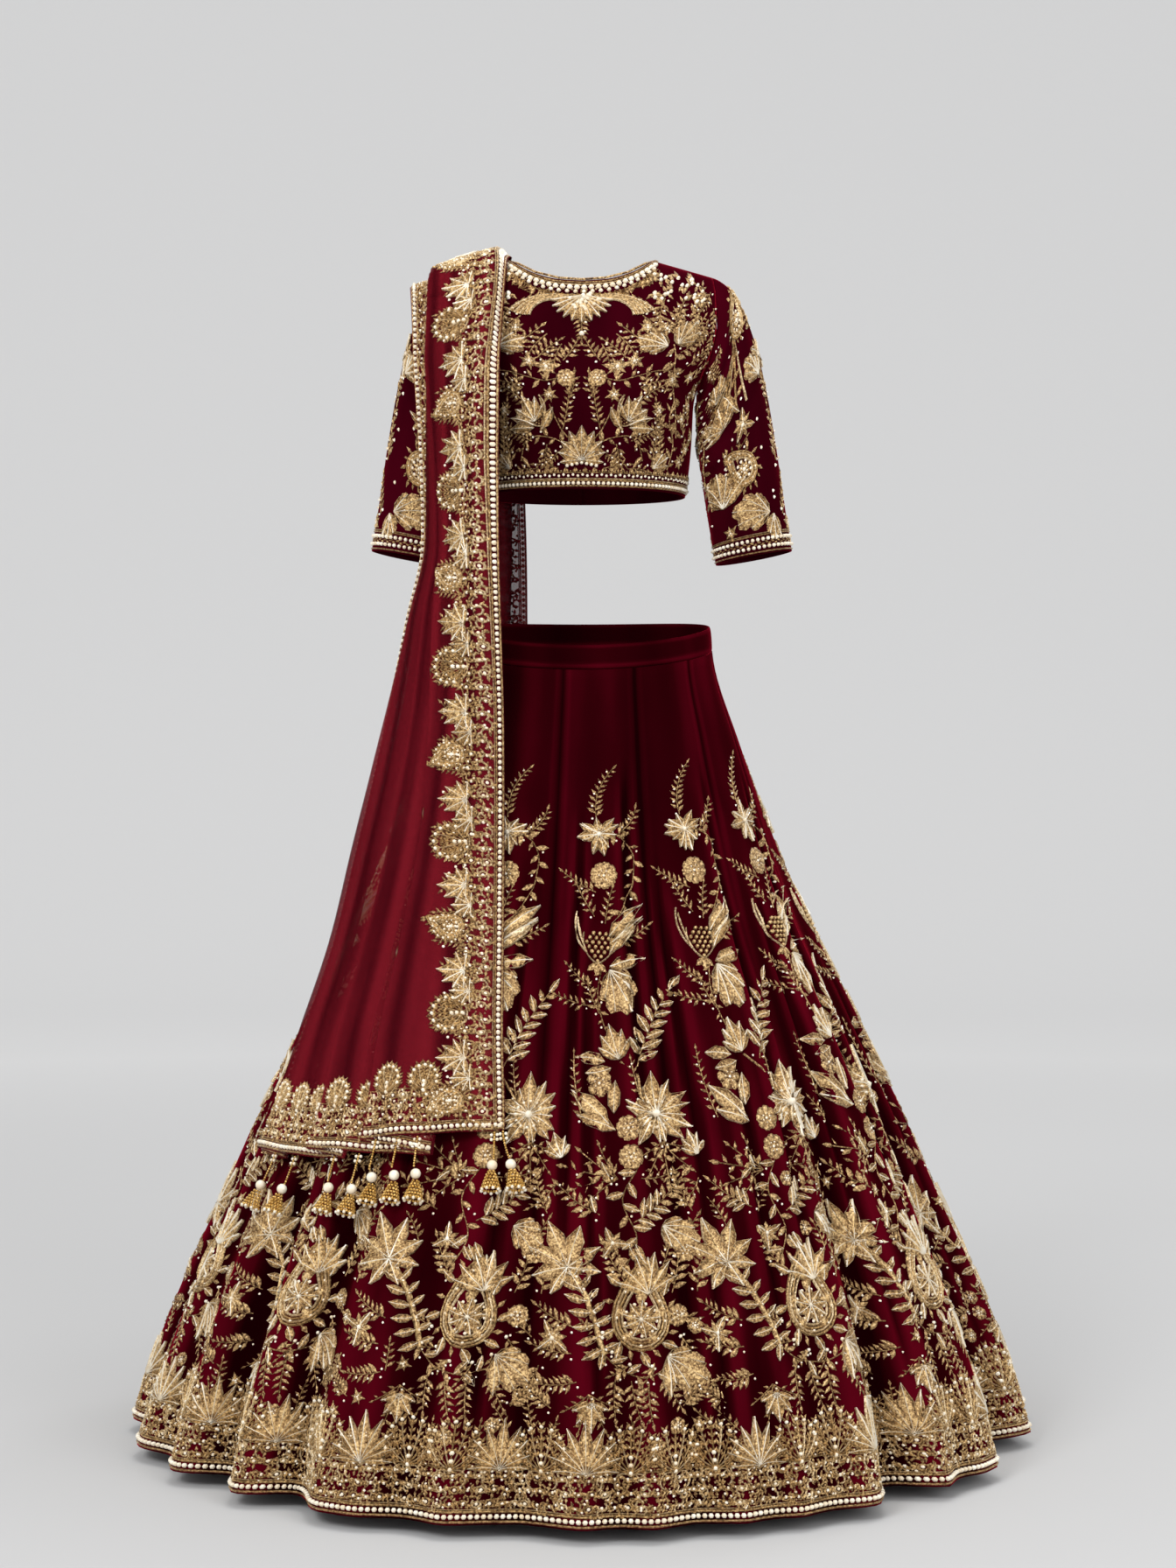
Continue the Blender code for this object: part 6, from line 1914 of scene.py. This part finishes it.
def embroiderDupatta():
    for face in range(layers):
        low, high = faceRange(face)
        for fromBack in (False, True):
            work = newWork()
            frameOf, length = dupattaFrame(face, fromBack)
            corner = borderLook["breadth"] if face == 0 else 0
            hemDesign(work, low, high - (0.012 if face == layers - 1 else 0), corner, hidden=face % 2 == 1)
            if face == layers - 1:
                pearlLine(work, [(high - 0.0066, 0.002), (high - 0.0066, length * 0.52)], 0.008, 0.0026)
                scrollFill(work, high - 0.04, high - 0.013, 0.0, length * 0.52, 0.015)
                for x, thick in ((0.0022, 0.003), (0.011, 0.0024), (0.0415, 0.0018)):
                    run = np.arange(0, length * 0.52, 0.012)
                    strand(work, np.stack([high - x + 0 * run, run], axis=1), thick, 0.0016)
            end = "back" if fromBack else "front"
            putOnCloth(f"dupatta_hem_{end}_{face + 1}", work, frameOf, slotOfFinish, 0.0005)
    work = newWork()
    frameOf, length = dupattaFrame(0, trueWidth=True)
    sideBorder(work, length)
    putOnCloth("dupatta_border", work, frameOf, slotOfFinish, 0.0005)
    work = newWork()
    for y in (0.2, 0.38, 0.56):
        stamp(work, motif(starFlower, 0.01, 6, 3), 0.15, y + 0.03, 0)
    putOnCloth("dupatta_buti", work, frameOf, slotOfFinish, 0.0005)


# Tassels

tasselLook = {"beadSides": 6, "beadRings": 3, "coneRings": 6}


def ballMesh(sides, rings):
    points, faces = [(0, 0, 1.0)], []
    for ring in range(1, rings):
        angle = pi * ring / rings
        for k in range(sides):
            turn = 2 * pi * k / sides
            points.append((sin(angle) * cos(turn), sin(angle) * sin(turn), cos(angle)))
    points.append((0, 0, -1.0))
    last = len(points) - 1
    for k in range(sides):
        after = (k + 1) % sides
        faces.append((0, 1 + k, 1 + after))
        faces.append((last, last - sides + after, last - sides + k))
        for ring in range(rings - 2):
            a, b = 1 + ring * sides, 1 + (ring + 1) * sides
            faces.append((a + k, b + k, b + after))
            faces.append((a + k, b + after, a + after))
    return np.array(points, float), np.array(faces, int)


def makeTassels():
    ball, ballFaces = ballMesh(tasselLook["beadSides"], tasselLook["beadRings"])
    bigBall, bigFaces = ballMesh(14, 9)
    numbers = {"front": 0, "back": 0}
    for tassel in tassels:
        numbers[tassel.end] += 1
        name = f"tassel_{tassel.end}_{numbers[tassel.end]}"
        balls = {"bead": [], "pearl": []}
        big = []
        for k in range(13):
            drop = 0.0016 + k * (stringLength - 0.001) / 12.5
            middle, beside, out = tasselAxis(tassel, drop)
            balls["bead"].append((middle, 0.0015))
            if k in (1, 3):
                for way in (-1, 1):
                    balls["pearl"].append((middle + way * beside * 0.0034, 0.0022))
        middle, beside, out = tasselAxis(tassel, stringLength + pearlRadius)
        big.append((middle, pearlRadius))
        top = stringLength + 2 * pearlRadius
        for ring in range(tasselLook["coneRings"]):
            share = (ring + 0.5) / tasselLook["coneRings"]
            radius = cupRadius * (0.2 + 0.68 * share ** 0.8)
            middle, beside, out = tasselAxis(tassel, top + cupHeight * share * 0.93)
            count = 5 + 3 * ring
            for k in range(count):
                angle = 2 * pi * (k + 0.5 * (ring % 2)) / count
                spot = middle + radius * (cos(angle) * beside + sin(angle) * out)
                balls["bead"].append((spot, 0.00175))
        middle, beside, out = tasselAxis(tassel, top + cupHeight * 0.93)
        for k in range(9):
            angle = 2 * pi * k / 9
            spot = middle + cupRadius * 0.86 * (cos(angle) * beside + sin(angle) * out)
            balls["pearl"].append((spot, 0.0022))
        for finish, rows in balls.items():
            centres = np.array([row[0] for row in rows])
            radii = np.array([row[1] for row in rows])
            points = (centres[:, None, :] + radii[:, None, None] * ball[None]).reshape(-1, 3)
            faces = (ballFaces[None] + len(ball) * np.arange(len(rows))[:, None, None]).reshape(-1, 3)
            if finish == "pearl":
                start = len(points)
                points = np.concatenate([points, big[0][0] + big[0][1] * bigBall])
                faces = np.concatenate([faces, bigFaces + start])
            piece = newPiece(f"{name}_{finish}", points, faces, finishOf[finish])
            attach(piece, "root")
            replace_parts(piece, name)


embroiderSkirt()
print("skirt embroidered")
embroiderCholi()
embroiderSleeves()
print("choli embroidered")
embroiderDupatta()
print("dupatta embroidered")
makeTassels()
print("tassels made")

# The cut of every cloth piece, as it shows

sheetCuts = rowsOf("piece width length area held restsOn carries", (
    ("skirt", 3.64, 1.09, 2.41, "hung", ("waistband_cloth",), ("skirt_embroidery",)),
    ("waistband_cloth", 1.06, 0.031, None, "stretched", (), ()),
    ("choli_front_cloth", 0.44, 0.34, 0.123, "stretched", ("neck_piping",), ("choli_front_embroidery",)),
    ("choli_back_left_cloth", 0.22, 0.33, 0.06, "stretched", ("choli_front_cloth",),
    ("choli_back_embroidery",)),
    ("choli_back_right_cloth", 0.22, 0.33, 0.06, "stretched", ("choli_front_cloth",), ()),
    ("sleeve_left_cloth", 0.36, 0.33, 0.092, "hung", ("choli_front_cloth",), ("sleeve_left_embroidery",)),
    ("sleeve_right_cloth", 0.36, 0.33, 0.092, "hung", ("choli_front_cloth",), ("sleeve_right_embroidery",)),
    ("dupatta_front_net", 0.6, 1.15, None, "hung", ("dupatta_shoulder_net", "skirt"),
    ("dupatta_border", "dupatta_buti", "dupatta_hem_front", "tassel_front")),
    ("dupatta_shoulder_net", 0.6, 0.22, None, "draped", ("choli_front_cloth", "choli_back_right_cloth"), ()),
    ("dupatta_back_net", 0.6, 1.17, None, "hung", ("dupatta_shoulder_net", "skirt"),
    ("dupatta_hem_back", "tassel_back")),
))
for cut in sheetCuts:
    bpy.data.objects[cut.piece]

# The piping is the one CAD node that still shows

piping = bpy.data.objects["neck_piping"]
piping.data.materials.clear()
piping.data.materials.append(threadMaterial("pipingThread", dict(goldLook, heightShare=0.0)))

# Floor, light and camera

floorZ = -1.035
stageLook = {
    "floor": (0.528, 0.529, 0.532),
    "world": 0.7,
    "sweepFrom": 6.4,
    "sweepRadius": 1.6,
    "wallHeight": 6.0,
    "halfWidth": 14.0,
    "glow": 0.25,
    "glowFrom": 1.3,
    "glowTo": 5.0,
}


def makeStage():
    # A pale floor that rises softly into the backdrop.
    start, radius = stageLook["sweepFrom"], stageLook["sweepRadius"]
    turn = np.linspace(0, pi / 2, 15)[1:]
    flat = [-stageLook["halfWidth"], start]
    depth = np.concatenate([flat, start + radius * np.sin(turn), [start + radius]])
    rise = np.concatenate([[0, 0], radius * (1 - np.cos(turn)), [stageLook["wallHeight"]]])
    width = np.array([-1, 1]) * stageLook["halfWidth"]
    points = [(x, y, floorZ + z) for y, z in zip(depth, rise) for x in width]
    material, tree, shader = newMaterial("studioPaper")
    setSockets(shader, {"Base Color": (*stageLook["floor"], 1), "Roughness": 0.9,
                        "Specular IOR Level": 0.1})
    place = tree.nodes.new("ShaderNodeTexCoord")
    away = tree.nodes.new("ShaderNodeVectorMath")
    away.operation = "LENGTH"
    glow = tree.nodes.new("ShaderNodeMapRange")  # painted light: the paper itself glows, more strongly the farther it lies from the middle, away from the lamps
    setSockets(glow, {"From Min": stageLook["glowFrom"], "From Max": stageLook["glowTo"],
                      "To Max": stageLook["glow"]})
    tree.links.new(place.outputs["Object"], away.inputs[0])
    tree.links.new(away.outputs["Value"], glow.inputs["Value"])
    tree.links.new(glow.outputs["Result"], shader.inputs["Emission Strength"])
    shader.inputs["Emission Color"].default_value = (1, 1, 1, 1)
    floor = newPiece("floor", points, gridFaces(len(depth), 2), material)
    world = bpy.context.scene.world or bpy.data.worlds.new("studio")
    bpy.context.scene.world = world
    world.use_nodes = True
    world.node_tree.nodes["Background"].inputs["Color"].default_value = (1, 1, 1, 1)
    world.node_tree.nodes["Background"].inputs["Strength"].default_value = stageLook["world"]


studioLights = rowsOf("name place aim size power", (
    ("keyLight", (-1.9, -3.2, 1.9), (0.0, 0.0, -0.25), 1.5, 82.0),
    ("fillLight", (2.3, -3.0, 0.9), (0.0, 0.0, -0.4), 1.9, 37.0),
    ("topLight", (0.2, -0.3, 3.0), (0.0, 0.0, 0.0), 1.8, 42.0),
    ("rimLight", (1.9, 2.2, 1.7), (0.0, 0.0, -0.1), 1.1, 20.0),
))


def makeLights():
    for row in studioLights:
        data = bpy.data.lights.new(row.name, "AREA")
        data.size = row.size
        data.energy = row.power
        light = bpy.data.objects.new(row.name, data)
        bpy.context.scene.collection.objects.link(light)
        light.location = row.place
        aim = Vector(row.aim) - Vector(row.place)
        light.rotation_euler = aim.to_track_quat("-Z", "Y").to_euler()


def makeCamera():
    data = bpy.data.cameras.new("camera")
    data.sensor_fit = "VERTICAL"
    data.sensor_height = 36.0
    data.lens = 62.58
    camera = bpy.data.objects.new("camera", data)
    bpy.context.scene.collection.objects.link(camera)
    camera.location = (0.008, -3.54, -0.2057)
    camera.rotation_euler = (radians(90), 0, 0)
    bpy.context.scene.camera = camera


makeStage()
makeLights()
makeCamera()
bpy.context.scene.view_settings.view_transform = "Standard"
print("stage set")
